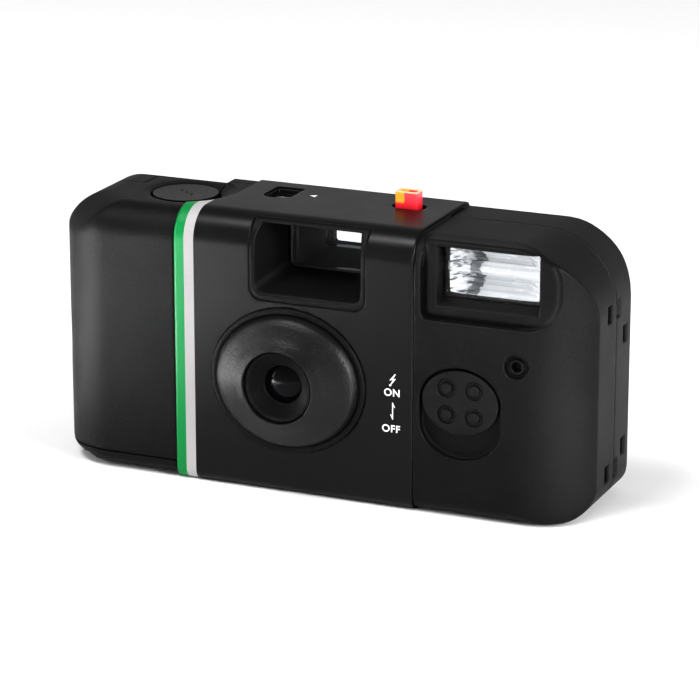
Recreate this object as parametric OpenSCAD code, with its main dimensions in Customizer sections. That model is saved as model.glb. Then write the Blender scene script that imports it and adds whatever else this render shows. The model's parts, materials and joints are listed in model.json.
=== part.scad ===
// Single-use 35 mm film camera with a built-in flash, as an assembly of separate pieces.
// X runs towards the flash end, Y towards the back and Z up.
// The origin lies under the middle of the case, on the plane it stands on.

/* [Case] */
// length over both ends
body_w = 110; // [108.5:0.5:114]
// height over the printed sleeve
body_h = 54; // [53.5:0.25:56]
// depth of the case from its front plane to its back
case_d = 28.5; // [28.2:0.1:30]
// how far the lens rim stands before the front plane
lens_reach = 5.5; // [5:0.1:6.5]
// shell thickness of both covers
wall = 1.4; // [1.1:0.05:1.5]
// depth of the rear cover
rear_d = 10; // [9:0.1:10.6]
// how much lower the covers' tops lie beside the sleeve
side_drop = 0.7; // [0.4:0.1:0.9]
// how much higher the covers' undersides lie beside the sleeve
side_lift = 0.5; // [0.3:0.1:0.7]
// length of the grip end beside the sleeve
grip_w = 27.2; // [26.8:0.1:28]
// length of the flash end beside the sleeve
flash_w = 33.5; // [33:0.1:34.2]
// how far the front's curve runs past the flash end, which leaves an edge there
end_swell = 1.6; // [0.6:0.1:2.2]
// depth of the finger hollow in the grip end
hollow_d = 1; // [0.5:0.1:1.3]
// radius of the finger hollow
hollow_r = 18; // [14:0.5:24]

/* [Sleeve] */
// thickness of the printed sleeve
sleeve_t = 0.3; // [0.2:0.05:0.5]
// margin of cover left showing round the finder opening
frame_w = 1; // [0.6:0.1:1.4]

/* [Lens] */
// lens axis, from the middle of the case
lens_x = -4; // [-4.8:0.1:-3.4]
// lens and film centre, above the base
lens_z = 22.8; // [22.5:0.1:23.2]
// half width of the raised band round the lens
band_a = 15.9; // [15.3:0.1:16.4]
// half height of the raised band round the lens
band_b = 14.2; // [13.6:0.1:14.6]
// width of that band
band_w = 1.3; // [0.9:0.1:1.8]
// radius of the lens rim's bore
rim_r = 7; // [6.6:0.1:7.4]
// radius of the lens
lens_r = 4.2; // [4:0.1:4.5]
// radius of the fixed aperture
aperture_r = 1.6; // [1.2:0.1:2]

/* [Finder] */
// finder axis, from the middle of the case
finder_x = -0.1; // [-0.6:0.1:0.6]
// half width of the finder opening at the front plane
finder_a = 11; // [10.6:0.1:11.6]
// height of the finder opening's lower edge above the base
finder_z = 39.4; // [38.8:0.1:40]
// half width of the finder tunnel
tunnel_a = 6.6; // [6:0.1:7]

/* [Flash] */
// how far the flash face lies behind the front plane
flash_set = 1.2; // [0.8:0.1:1.6]
// height of the flash face
flash_h = 14.9; // [14.2:0.1:15.2]
// length of the flash face
flash_l = 26.8; // [26.4:0.1:27.4]
// length of the clear flash window
window_l = 19.7; // [18.5:0.1:19.9]
// height of the clear flash window
window_h = 9.7; // [9:0.1:9.8]
// how far the clear flash window lies behind the flash face
window_set = 2.4; // [1.8:0.1:2.6]
// height of the sloping sill below the flash window
sill_h = 1.6; // [1.2:0.1:1.9]
// half width of the flash switch
switch_a = 7.65; // [7:0.05:7.9]
// half height of the flash switch
switch_b = 6.3; // [5.6:0.1:6.4]
// travel of the flash switch
switch_travel = 4.4; // [3.5:0.1:4.8]
// how far the ready light stands out of the top when the flash is on
guide_out = 3.2; // [2.6:0.1:3.6]

/* [Film] */
// radius of the film cartridge
cart_r = 12.2; // [11.8:0.1:12.3]
// height of the film cartridge
cart_h = 40; // [39.4:0.1:40.4]
// radius of the thumb wheel
wheel_r = 12.6; // [12:0.1:12.7]
// height of the thumb wheel
wheel_h = 3.2; // [2.6:0.1:3.4]
// width of the film
film_w = 35; // [34.6:0.1:35.2]
// radius of the film roll
roll_r = 8.8; // [8:0.1:9]

/* [Release] */
// radius of the shutter button
button_r = 6.4; // [5.6:0.1:6.5]
// travel of the shutter button
button_travel = 1.1; // [0.8:0.1:1.2]

/* [Fits] */
// gap between pieces that lie against each other
gap = 0.2; // [0.1:0.02:0.24]
// radial clearance of a turning or sliding fit
run = 0.06; // [0.03:0.01:0.09]

/* [Hidden] */
$fn = 64;

// case planes
left = -body_w / 2;
right = body_w / 2;
front_y = -(case_d - lens_reach) / 2;
back_y = (case_d + lens_reach) / 2;
rim_y = front_y - lens_reach;
seat_y = front_y + sleeve_t;
side_top = body_h - side_drop;
seam_y = back_y - rear_d;
top_seam_y = back_y - 4;
top_seam_x = left + 12;
in_front = front_y + wall;
in_back = back_y - wall;
in_top = side_top - wall;
sleeve_gap = 0.03;
sleeve_x0 = left + grip_w;
sleeve_x1 = right - flash_w;
far = 200;

// corner radii of the case, each list anticlockwise from the low left corner
end_radii = [5, 5.5, 14.5, 9];
plan_radii = [12, 16, 5.5, 4.5];
side_radii = [2.5, 2, 1.5, 6];
grip_mid = [left + plan_radii[0], front_y + plan_radii[0]];
grip_top_r = 10;
grip_spare = 0.4;
function inset(radii, t) = [for (r = radii) max(r - t, 0.2)];

// cartridge door in the base
door_z = 3.5;
door_rim = 1.3;
door_lift = 0.3;
door_inset = 3.4;
door_r = 11.6;
hinge_r = 0.7;
hinge_y = in_back - 1.4;
hinge_z = door_lift + hinge_r;
door_gap = 0.2;

// film path
cart_x = left + 15.8;
cart_y = in_back - cart_r - 1.5 * gap;
cart_z = door_z + 0.3;
cart_top = cart_z + cart_h;
chamber_r = cart_r + 0.6;
chamber_wall = 1;
deck_z = lens_z + film_w / 2 + 1.5;
deck_t = 1;
deck_top = deck_z + deck_t;
film_t = 0.15;
film_y = in_back - 1.65;
gate_y = film_y - 0.15;
gate_t = 1.2;
gate_w = 36;
gate_h = 24;
roll_x = sleeve_x1 + 8.5;
roll_y = film_y - roll_r - 0.1;
supply_r = roll_r + 1.1;
supply_t = 0.8;
supply_floor = lens_z - film_w / 2 - 0.5;
spool_pin_r = 1.2;
wheel_z = cart_top + 1.7;
wheel_top = wheel_z + wheel_h;

// sprocket and counter
sprocket_r = 5.6;
sprocket_tip = 6.9;
sprocket_x = lens_x - gate_w / 2 + 3;
sprocket_y = film_y - 5.9;
sprocket_z = lens_z + gate_h / 2 + 1.4;
counter_r = 6.7;
counter_hub = 3.9;
counter_x = sprocket_x + 3.8;
counter_y = sprocket_y - 3.8;
counter_top = in_top - gap - 0.1;

// shutter stack, front to back
plate_y = front_y + 3.3;
plate_t = 0.3;
blade_y = plate_y + plate_t + gap;
blade_t = 0.2;
lens_plate_y = blade_y + blade_t + gap;
lens_plate_t = 1.2;
blade_pin = [lens_x - 6, lens_z + 5.5];
pin_r = 0.7;

// release mechanism on the deck
stem_x = sleeve_x0 + 3.5;
stem_y = front_y + 7.3;
stem_r = 0.8;
lever_x = stem_x + 3.5;
lever_z = deck_top + 2.9;
lever_t = 1.2;
lever_w = 1.6;
hammer_x = stem_x + 10.5;
hammer_y = front_y + 9.7;
hammer_z = deck_top + 1.6;
lock_x = stem_x + 1.4;
lock_y = front_y + 12.9;
lock_z = wheel_z + 0.3;
post_r = 0.9;

// shutter button in its dish
button_x = left + 22.2;
button_y = front_y + 15.8;
button_top = side_top - 0.3;
button_t = 1;
button_arm_z = button_top - button_t - 0.6;
button_arm_t = 0.8;
dish_r = button_r + 1.1;
sleeve_notch_r = button_r + 4.6;

// counter window in the top
counter_win = [counter_x + 1.4, counter_y + 4];
counter_win_size = [5.2, 7.6];

// finder tunnel
finder_top = body_h - sleeve_t - 1.1;
finder_back = front_y + 9.6;
finder_floor = deck_top;
finder_in_top = in_top - 1.1;
finder_lens_t = 1.2;

// flash
flash_y = front_y + flash_set;
flash_x0 = sleeve_x1 + 1.5;
flash_z1 = side_top - 0.1;
flash_z0 = flash_z1 - flash_h;
flash_wall = 1.2;
flash_inset = 0.1;
flash_radii = [1.5, 6.2, 6.2, 0.8];
flash_deep = 4.2;
window_x0 = flash_x0 + 2.9;
window_z0 = flash_z0 + 3.9;
window_y = flash_y + window_set;
window_t = 1.1;
collar_t = 1;
reflector_side = 1.1;
reflector_edge = 0.5;
reflector_y = window_y + window_t + gap;
reflector_d = 5.8;
tube_r = 1.3;
tube_y = reflector_y + 3.9;
tube_z = window_z0 + window_h / 2;
tube_reach = 1.2;

// flash switch at its upper stop
switch_x = sleeve_x1 + 9.4;
switch_z = lens_z - 0.1;
recess_d = 1.7;
recess_gap = 0.45;
recess_floor = 0.9;
slider_y = front_y + recess_d + recess_floor + gap;
slider_t = 0.7;
slot_w = 3;
arm_x = sleeve_x1 - 3;
arm_w = 3.2;
arm_z = deck_top + 0.8 + switch_travel;
arm_t = 1.2;
guide_x = sleeve_x1 - 11.2;
guide_w = 4.6;
guide_d = 3;
guide_y = front_y + 17.9;

// circuit board and what it carries
board_x0 = roll_x - 8.9;
board_x1 = right - 10;
board_y = slider_y + slider_t + 0.45;
board_t = 1.2;
board_z1 = flash_z0 - 0.8;
cap_r = 4.4;
cap_x = right - 6.8;
cap_y = front_y + 15.1;
cap_z = 9;
cap_h = 26;
lamp_r = 1.5;

// battery across the front, under the lens
battery_r = 5.2;
battery_l = 44.5;
battery_y = in_front + battery_r + gap + 0.1;
battery_z = side_lift + wall + battery_r + gap + 0.1;
battery_x1 = roll_x - 9.8;
battery_x0 = battery_x1 - battery_l;

// latch windows in the flash end, each row as [y, z]
latch_front_y = front_y + 14.8;
latch_rear_y = back_y - 4.8;
latch_size = [2, 3.2];
latch_rows = [
    [latch_front_y, lens_z + 15.9],
    [latch_front_y, lens_z - 15.4],
    [latch_rear_y, lens_z + 10],
    [latch_rear_y, lens_z - 12.3]
];
web_x = roll_x + supply_r + 0.2;

// small access hole beside the switch
access_x = sleeve_x1 + 20.4;
access_z = lens_z + 8.2;
access_r = 2.25;

// shape helpers
module along_x(x0, x1) {
    translate([x0, 0, 0]) rotate([90, 0, 90]) linear_extrude(x1 - x0) children();
}

module along_y(y0, y1) {
    translate([0, y1, 0]) rotate([90, 0, 0]) linear_extrude(y1 - y0) children();
}

module along_z(z0, z1) {
    translate([0, 0, z0]) linear_extrude(z1 - z0) children();
}

module box(low, high) {
    translate(low) cube(high - low);
}

module round_box(low, high, radii) {
    polygon([
        [low.x + radii[0], low.y], [high.x - radii[1], low.y],
        [high.x, low.y + radii[1]], [high.x, high.y - radii[2]],
        [high.x - radii[2], high.y], [low.x + radii[3], high.y],
        [low.x, high.y - radii[3]], [low.x, low.y + radii[0]]
    ]);
    translate([low.x + radii[0], low.y + radii[0]]) circle(radii[0]);
    translate([high.x - radii[1], low.y + radii[1]]) circle(radii[1]);
    translate([high.x - radii[2], high.y - radii[2]]) circle(radii[2]);
    translate([low.x + radii[3], high.y - radii[3]]) circle(radii[3]);
}

module ellipse(a, b, points = 60) {
    polygon([for (i = [0:points - 1]) [a * cos(360 * i / points), b * sin(360 * i / points)]]);
}

module rod_x(x0, x1, y, z, r) {
    translate([x0, y, z]) rotate([0, 90, 0]) cylinder(r = r, h = x1 - x0);
}

module rod_y(x, z, y0, y1, r) {
    translate([x, y0, z]) rotate([-90, 0, 0]) cylinder(r = r, h = y1 - y0);
}

module rod_z(x, y, z0, z1, r) {
    translate([x, y, z0]) cylinder(r = r, h = z1 - z0);
}

// one unbroken helical wire from z = 0 upwards, whose radius runs from r0 to r1
module coil(r0, r1, wire, turns, height, steps = 16) {
    rings = turns * steps;
    sides = 6;
    points = [for (i = [0:rings], j = [0:sides - 1])
        let (
            t = 360 * i / steps,
            a = 360 * j / sides,
            r = r0 + (r1 - r0) * i / rings + wire * cos(a)
        )
        [r * cos(t), r * sin(t), height * i / rings + wire * sin(a)]];
    skin = [for (i = [0:rings - 1], j = [0:sides - 1])
        let (
            p = i * sides + j,
            q = i * sides + (j + 1) % sides
        )
        each [[p, q, p + sides], [q, q + sides, p + sides]]];
    start = [for (j = [1:sides - 2]) [0, j + 1, j]];
    last = rings * sides;
    end = [for (j = [1:sides - 2]) [last, last + j, last + j + 1]];
    polyhedron(points, concat(skin, start, end));
}

// case forms
module side_profile(t, bottom, top) {
    round_box([front_y + t, bottom + t], [back_y - t, top - t], inset(side_radii, t));
}

module end_outline(t) {
    round_box([left + t, side_lift + t], [right - t, side_top - t], inset(end_radii, t));
}

module side_block(t = 0) {
    intersection() {
        along_y(front_y - 1, back_y + 1) end_outline(t);
        along_z(-1, body_h + 1)
            round_box([left + t, front_y + t], [right + end_swell - t, back_y - t], inset(plan_radii, t));
        along_x(left - 1, right + 1) side_profile(t, side_lift, side_top);
        // rounds the grip's upper front corner
        translate([grip_mid.x, grip_mid.y, 0]) rotate(225) along_y(-far, far)
            round_box([-far, -far], [plan_radii[0] + grip_spare - t, side_top - t], inset([1, 1, grip_top_r, 1], t));
    }
}

module finger_hollow(grow) {
    rod_y(left + hollow_d - hollow_r, lens_z + 1.6, -far, far, hollow_r + grow);
}

module case_block() {
    difference() {
        side_block();
        box([sleeve_x0, -far, -far], [sleeve_x1, far, far]);
        finger_hollow(0);
    }
    along_x(sleeve_x0, sleeve_x1) side_profile(sleeve_t, 0, body_h);
}

module shell() {
    difference() {
        case_block();
        difference() {
            side_block(wall);
            finger_hollow(wall);
        }
    }
}

// room taken by the front cover: it reaches further back across the top beside the flash end
module front_zone(grow) {
    box([-far, -far, -far], [far, seam_y + grow, far]);
    box([top_seam_x - grow, -far, in_top - 0.6 - grow], [sleeve_x1 + grow, top_seam_y + grow, far]);
}

module door_zone(grow) {
    box([-far, -far, -far], [sleeve_x0 - door_gap / 2 + grow, hinge_y + grow, door_z + grow]);
}

module latch_windows() {
    for (p = latch_rows)
        translate([right, p.x, p.y]) cube([6, latch_size.x, latch_size.y], center = true);
}

module finder_funnel(grow) {
    hull() {
        box([finder_x - finder_a - grow, front_y - 1, finder_z - grow],
            [finder_x + finder_a + grow, front_y, finder_top]);
        box([finder_x - tunnel_a - 1.2 - grow, finder_back - 0.1, finder_floor - grow],
            [finder_x + tunnel_a + 1.2 + grow, finder_back, finder_top]);
    }
}

module flash_outline(t = 0) {
    round_box([flash_x0 + t, flash_z0 + t], [flash_x0 + flash_l - t, flash_z1 - t], inset(flash_radii, t));
}

// flash face as far as it lies inside the end's outline
module flash_plug() {
    intersection() {
        flash_outline();
        end_outline(flash_inset);
    }
}

module switch_track(grow) {
    low = switch_z - switch_travel;
    translate([switch_x, switch_z]) ellipse(switch_a + grow, switch_b + grow);
    translate([switch_x, low]) ellipse(switch_a + grow, switch_b + grow);
    translate([switch_x - switch_a - grow, low]) square([2 * (switch_a + grow), switch_travel]);
}

// covers
module front_cover() {
    color("#222224") difference() {
        union() {
            difference() {
                intersection() {
                    shell();
                    front_zone(-0.05);
                }
                along_y(-far, reflector_y + reflector_d + gap) flash_outline(flash_wall);
            }
            along_y(flash_y, flash_y + flash_wall) flash_plug();
            along_y(flash_y, flash_y + flash_deep) difference() {
                flash_plug();
                flash_outline(flash_wall);
            }
            // collar that holds the flash window
            along_y(flash_y, window_y + window_t) intersection() {
                flash_plug();
                translate([window_x0 - collar_t, window_z0 - sill_h - collar_t])
                    square([window_l + 2 * collar_t, window_h + sill_h + 2 * collar_t]);
            }
            along_y(front_y - 0.5, in_front) translate([lens_x, lens_z]) ellipse(band_a, band_b);
            intersection() {
                finder_funnel(1);
                box([-far, seat_y, -far], [far, finder_back, finder_top + 0.4]);
            }
            along_y(in_front - 0.2, front_y + recess_d + recess_floor) switch_track(1.4);
        }
        // seat and holes of the lens
        along_y(-far, seat_y) translate([lens_x, lens_z]) ellipse(band_a - band_w, band_b - band_w);
        rod_y(lens_x, lens_z, -far, 0, lens_r + 2.3);
        // finder opening
        finder_funnel(0);
        // flash face and window
        along_y(-far, flash_y) flash_outline();
        along_y(-far, flash_y + flash_deep)
            translate([window_x0 - gap, window_z0 - gap])
                square([window_l + 2 * gap, window_h + 2 * gap]);
        along_x(window_x0 - gap, window_x0 + window_l + gap) polygon([
            [front_y, window_z0], [front_y, window_z0 - sill_h], [flash_y, window_z0 - sill_h],
            [window_y, window_z0 - gap], [window_y, window_z0]
        ]);
        // switch recess and its slot
        along_y(-far, front_y + recess_d) switch_track(recess_gap);
        box([switch_x - slot_w / 2 - gap, -far, switch_z - switch_travel - 2.4],
            [switch_x + slot_w / 2 + gap, slider_y, switch_z + 2.4]);
        // access hole with its tube
        difference() {
            rod_y(access_x, access_z, -far, in_front - 0.4, access_r);
            rod_y(access_x, access_z, front_y + 0.3, 0, 1.5);
        }
        rod_y(access_x, access_z, -far, 0, 0.95);
        // top: button dish, its arm's channel, counter window and ready light
        translate([button_x, button_y, button_top - 0.4]) cylinder(r1 = button_r + 0.3, r2 = dish_r, h = 0.75);
        rod_z(button_x, button_y, in_top - 1, far, button_r + 0.3);
        button_arm(0.35, button_arm_z - button_travel - 0.4, button_arm_z + button_arm_t + 0.15);
        box(concat(counter_win - counter_win_size / 2, in_top - 1), concat(counter_win + counter_win_size / 2, far));
        box([guide_x - 0.5, guide_y - 0.4, 0], [guide_x + guide_w + 0.5, guide_y + guide_d + 0.4, far]);
        // latch windows and the door's place
        latch_windows();
        door_zone(door_gap);
    }
}

module rear_cover() {
    slot_z = [wheel_z - 0.4, wheel_top + 0.4];
    color("#262628") difference() {
        union() {
            difference() {
                shell();
                front_zone(0.05);
            }
            // rails that hold the film flat
            for (z = [lens_z - film_w / 2 + 1.8, lens_z + film_w / 2 - 1.2])
                box([lens_x - gate_w / 2, film_y + film_t + gap, z - 0.5],
                    [lens_x + gate_w / 2, in_back + 0.2, z + 0.5]);
            // lip over the thumb wheel
            box([cart_x - 9, in_back - 2, slot_z[1] - 0.2], [cart_x + 9, in_back + 0.2, slot_z[1] + 1.4]);
        }
        // notch for the thumb, and the wheel's slot
        rod_z(cart_x, back_y + 5.4, slot_z[0], slot_z[1] + 0.6, 8);
        rod_z(cart_x, cart_y, slot_z[0], slot_z[1], wheel_r + 0.5);
        // eyepiece
        box([finder_x - tunnel_a + 0.4, in_back - 1, finder_floor + 1],
            [finder_x + tunnel_a - 0.4, far, finder_in_top - 0.4]);
        // latch windows, pry notches beside the seam and the door's place
        latch_windows();
        for (z = [lens_z + 16, lens_z - 15.6])
            translate([right, seam_y + 1, z]) cube([1.2, 2, 3.4], center = true);
        door_zone(door_gap);
        rod_x(-far, sleeve_x0, hinge_y, hinge_z, hinge_r + 0.2);
    }
}

module printed_sleeve() {
    color("#161617") difference() {
        along_x(sleeve_x0, sleeve_x1) difference() {
            side_profile(0, 0, body_h);
            side_profile(sleeve_t - sleeve_gap, 0, body_h);
        }
        along_y(-far, 0) translate([lens_x, lens_z]) ellipse(band_a + 0.1, band_b + 0.1);
        intersection() {
            finder_funnel(frame_w);
            box([-far, -far, -far], [far, finder_back, far]);
        }
        box([finder_x - tunnel_a, 0, finder_floor + 0.6], [finder_x + tunnel_a, far, finder_in_top]);
        rod_z(button_x, button_y, 0.5 * body_h, far, sleeve_notch_r);
        box(concat(counter_win - counter_win_size / 2 - [0.4, 0.4], 0.5 * body_h),
            concat(counter_win + counter_win_size / 2 + [0.4, 0.4], far));
        box([guide_x - 1, guide_y - 0.6, 0.5 * body_h], [guide_x + guide_w + 1, guide_y + guide_d + 0.6, far]);
    }
}

module cartridge_door() {
    color("#242426") difference() {
        union() {
            intersection() {
                side_block();
                box([-far, -far, door_z - door_rim], [sleeve_x0 - door_gap, hinge_y, door_z]);
            }
            intersection() {
                side_block();
                along_z(door_lift, door_z - 0.1)
                    round_box([left + door_inset, front_y], [sleeve_x0 - door_gap, hinge_y], [door_r, 0.2, 0.2, 2]);
            }
            rod_x(left + door_inset + 1, sleeve_x0 - door_gap, hinge_y, hinge_z, hinge_r);
        }
        // hollow under the cartridge
        rod_z(cart_x, cart_y, side_lift + wall, far, cart_r - 1.6);
    }
}

// moulding that carries everything inside
module chassis() {
    tunnel = [[gate_w, gate_h, 16.5], [26, 17, 10.5], [15, 10, 5.1]];
    color("#2e2e30") difference() {
        union() {
            // film gate and stepped light tunnel
            box([sleeve_x0 + 2.3, gate_y - gate_t, 3.2], [sleeve_x1 + 1, gate_y, deck_top]);
            for (s = [0:2])
                box([lens_x - tunnel[s].x / 2 - 1, lens_plate_y + (s < 2 ? tunnel[s + 1].z : 0) + 1.2 * (s < 2 ? 1 : 0.5),
                        lens_z - tunnel[s].y / 2 - 1],
                    [lens_x + tunnel[s].x / 2 + 1, s > 0 ? lens_plate_y + tunnel[s].z + 2 : gate_y - 0.2,
                        lens_z + tunnel[s].y / 2 + 1]);
            // plate behind the shutter
            box([lens_x - 11, lens_plate_y, lens_z - 9.6], [lens_x + 11, lens_plate_y + lens_plate_t, lens_z + 13]);
            box([lens_x - 14, lens_plate_y, lens_z + 10], [lens_x - 8.6, lens_plate_y + lens_plate_t, deck_top]);
            for (p = [[-9.4, -8], [9.4, -8], [9.4, 10.6]])
                rod_y(lens_x + p.x, lens_z + p.y, plate_y + plate_t, lens_plate_y + 0.5, 1.2);
            rod_y(blade_pin.x, blade_pin.y, plate_y - 1.5, lens_plate_y + 0.5, pin_r);
            // cartridge chamber: side wall, roof and the web to the tunnel
            difference() {
                rod_z(cart_x, cart_y, cart_z, cart_top + 1.3, chamber_r + chamber_wall);
                rod_z(cart_x, cart_y, 0, cart_top + 0.3, chamber_r);
                box([-far, -far, -far], [cart_x + 7.6, far, far]);
                box([-far, -far, -far], [far, cart_y - 11.6, far]);
                box([-far, gate_y - gate_t - 1.5, -far], [far, far, far]);
            }
            rod_z(cart_x, cart_y, cart_top + 0.3, cart_top + 1.3, cart_r);
            box([cart_x + chamber_r + 0.2, cart_y + 1, 9.6], [lens_x - gate_w / 2, cart_y + 2.2, deck_top]);
            // deck under the release mechanism and the finder
            box([sleeve_x0 + 2, lens_plate_y, deck_z], [sleeve_x1 - 3.3, gate_y, deck_top]);
            // posts on the deck
            rod_z(counter_x, counter_y, deck_z, counter_top - 2.4, 1.6);
            rod_z(counter_x, counter_y, deck_z, counter_top - 0.2, 1);
            rod_z(hammer_x, hammer_y, deck_z, hammer_z - gap, 2);
            rod_z(hammer_x, hammer_y, deck_z, hammer_z + 4, post_r);
            rod_z(lock_x, lock_y, deck_z, lock_z - gap, 1.5);
            rod_z(lock_x, lock_y, deck_z, lock_z + 2, post_r);
            box([lever_x - 1, stem_y + lever_w / 2 + gap, deck_z], [lever_x + 1, stem_y + lever_w / 2 + 1.5, lever_z + 1]);
            rod_y(lever_x, lever_z, stem_y - lever_w / 2 - 0.2, stem_y + lever_w / 2 + 1, pin_r);
            // guide of the button's stem
            box([stem_x - 1.4, stem_y - 1.9, lever_z + 1.6], [stem_x + 1.4, stem_y + 1.3, lever_z + 2.5]);
            box([stem_x - 1.4, stem_y - 1.9, deck_z], [stem_x - 0.4, stem_y - lever_w / 2 - gap, lever_z + 2]);
            // finder tunnel
            for (s = [-1, 1])
                translate([finder_x + s * (tunnel_a + 0.5), (finder_back + gap + gate_y) / 2,
                        (deck_z + finder_in_top + 0.8) / 2])
                    cube([1, gate_y - finder_back - gap, finder_in_top + 0.8 - deck_z], center = true);
            box([finder_x - tunnel_a - 1, finder_back + gap, finder_in_top],
                [finder_x + tunnel_a + 1, gate_y, finder_in_top + 0.8]);
            // supply chamber with its floor and roof
            difference() {
                rod_z(roll_x, roll_y, supply_floor - supply_t, deck_z, supply_r + 1);
                rod_z(roll_x, roll_y, supply_floor, deck_z - 1, supply_r);
                box([-far, film_y - 2, supply_floor], [far, far, deck_z - 1]);
                box([-far, film_y - 0.6, -far], [far, far, far]);
            }
            // web at the flash end, with the catches that hold the covers
            box([web_x - 0.6, latch_front_y - 1, supply_floor - supply_t], [web_x + 0.6, latch_rear_y + 0.6, deck_z]);
            for (p = latch_rows)
                box([web_x, p.x - latch_size.x / 2 + 0.3, p.y - latch_size.y / 2 + 0.4],
                    [right - 0.9, p.x + latch_size.x / 2 - 0.3, p.y + latch_size.y / 2 - 0.4]);
            // rests of the circuit board
            for (z = [8, board_z1 - 5])
                rod_y(roll_x, z, board_y + board_t + 0.05, roll_y - supply_r, 2);
        }
        // room for the front cover's finder opening
        box([finder_x - finder_a - 1.4, -far, finder_z - 1.6], [finder_x + finder_a + 1.4, finder_back + gap, far]);
        // light path
        for (s = [0:2])
            box([lens_x - tunnel[s].x / 2, lens_plate_y + (s < 2 ? tunnel[s + 1].z + 2.2 : lens_plate_t),
                    lens_z - tunnel[s].y / 2],
                [lens_x + tunnel[s].x / 2, s > 0 ? lens_plate_y + tunnel[s].z + 2.4 : far, lens_z + tunnel[s].y / 2]);
        rod_y(lens_x, lens_z, -far, lens_plate_y + 2, 2.5);
        // sprocket's slot, shaft and foot
        box([-far, gate_y - gate_t - 1, sprocket_z - 0.4], [sprocket_x + sprocket_tip + 0.5, far, sprocket_z + 2.9]);
        rod_z(sprocket_x, sprocket_y, deck_z - 1, deck_top + 1, 1.5 + run);
        rod_z(sprocket_x, sprocket_y, sprocket_z - 1.1, sprocket_z, 0.8 + run);
        // room for the sprocket beside the chamber web
        rod_z(sprocket_x, sprocket_y, sprocket_z - 0.4, sprocket_z + 2.9, sprocket_tip + 0.4);
        // wheel hub, button stem and spool pins
        rod_z(cart_x, cart_y, cart_top, cart_top + 2, 4.4 + run);
        rod_z(stem_x, stem_y, lever_z + 1, lever_z + 3, stem_r + run);
        rod_z(roll_x, roll_y, supply_floor - 1, deck_z + 1, spool_pin_r + run);
        // seats of the finder lenses
        box([finder_x - tunnel_a - 0.6, finder_back, finder_floor + 0.1],
            [finder_x + tunnel_a + 0.6, finder_back + 2 * gap + finder_lens_t, finder_in_top + 0.3]);
        box([finder_x - tunnel_a - 0.6, gate_y - 1, finder_floor + 0.1],
            [finder_x + tunnel_a + 0.6, far, finder_in_top + 0.3]);
        box([finder_x - tunnel_a, finder_back, finder_floor + 0.1], [finder_x + tunnel_a, far, finder_in_top]);
    }
}

// lens group
module lens_bezel() {
    a = band_a - band_w - 0.2;
    b = band_b - band_w - 0.2;
    color("#1c1c1d") difference() {
        hull() {
            along_y(front_y - 0.6, seat_y) translate([lens_x, lens_z]) ellipse(a, b, 32);
            along_y(front_y - 2.6, front_y) translate([lens_x, lens_z]) ellipse(a - 0.9, b - 0.7, 32);
            along_y(rim_y + 1, front_y) translate([lens_x, lens_z]) ellipse(a - 3.1, b - 2.3, 32);
            along_y(rim_y, front_y) translate([lens_x, lens_z]) circle(rim_r + 1.3, $fn = 32);
        }
        rod_y(lens_x, lens_z, -far, 0, rim_r);
    }
}

module lens_retainer() {
    r = rim_r - run;
    h = -rim_y + seat_y - 0.8;
    color("#141415") translate([lens_x, rim_y + 0.6, lens_z]) rotate([-90, 0, 0]) rotate_extrude()
        polygon([
            [r, 0], [r, h], [lens_r + 0.15, h], [lens_r + 0.15, h - 0.9], [3.4, h - 0.9],
            [3.4, h - 1.9], [4.1, h - 1.9], [4.1, h - 2.6], [4.9, h - 2.6], [4.9, h - 3.3],
            [5.7, h - 3.3], [5.7, h - 4], [6.4, h - 4], [6.4, 0]
        ]);
}

module taking_lens() {
    rim = seat_y - 0.9;
    color("#9fb4c4") union() {
        rod_y(lens_x, lens_z, rim, seat_y + 0.8, lens_r);
        intersection() {
            translate([lens_x, rim + 5, lens_z]) sphere(6);
            rod_y(lens_x, lens_z, rim - 3, rim + 0.5, 3.3);
        }
    }
}

module lens_holder() {
    color("#1a1a1b") difference() {
        rod_y(lens_x, lens_z, seat_y, plate_y - 0.05, lens_r + 2);
        rod_y(lens_x, lens_z, seat_y - 1, seat_y + 0.9, lens_r + 0.12);
        rod_y(lens_x, lens_z, seat_y - 1, 0, 3);
    }
}

module aperture_plate() {
    color("#0f0f10") along_y(plate_y, plate_y + plate_t) difference() {
        translate([lens_x - 10.6, lens_z - 9.2]) square([21.2, 21]);
        translate([lens_x, lens_z]) circle(aperture_r);
        translate(blade_pin) circle(pin_r + 0.1);
    }
}

module shutter_blade() {
    tip = [lens_x - 12, deck_top + 1];
    color("#3a3a3c") along_y(blade_y, blade_y + blade_t) difference() {
        union() {
            translate([lens_x, lens_z]) circle(2.6);
            translate(blade_pin) circle(1.9);
            polygon([blade_pin + [-1.3, -1.3], [lens_x - 1.8, lens_z - 1.8], [lens_x + 1.8, lens_z + 1.8], blade_pin + [1.3, 1.3]]);
            polygon([blade_pin + [-1.7, 0], blade_pin + [1.2, 1.2], tip + [0.8, 0], tip + [-0.8, 0]]);
        }
        translate(blade_pin) circle(pin_r + run);
    }
}

module blade_spring() {
    color("#b9bcc0") translate([blade_pin.x, plate_y - 0.15, blade_pin.y]) rotate([90, 0, 0])
        coil(1.15, 1.15, 0.13, 3, 1.1);
}

module shutter_hammer() {
    color("#d6d3cb") difference() {
        union() {
            rod_z(hammer_x, hammer_y, hammer_z, hammer_z + 1.5, 2);
            translate([hammer_x, hammer_y, hammer_z]) rotate(-88) box([0, -0.7, 0], [6.1, 0.7, 1.5]);
            translate([hammer_x, hammer_y, hammer_z]) rotate(95) box([0, -0.6, 0], [2.6, 0.6, 1.5]);
        }
        rod_z(hammer_x, hammer_y, 0, far, post_r + run);
    }
}

module hammer_spring() {
    color("#b9bcc0") translate([hammer_x, hammer_y, hammer_z + 1.9]) coil(1.35, 1.35, 0.16, 4, 1.8);
}

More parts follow.
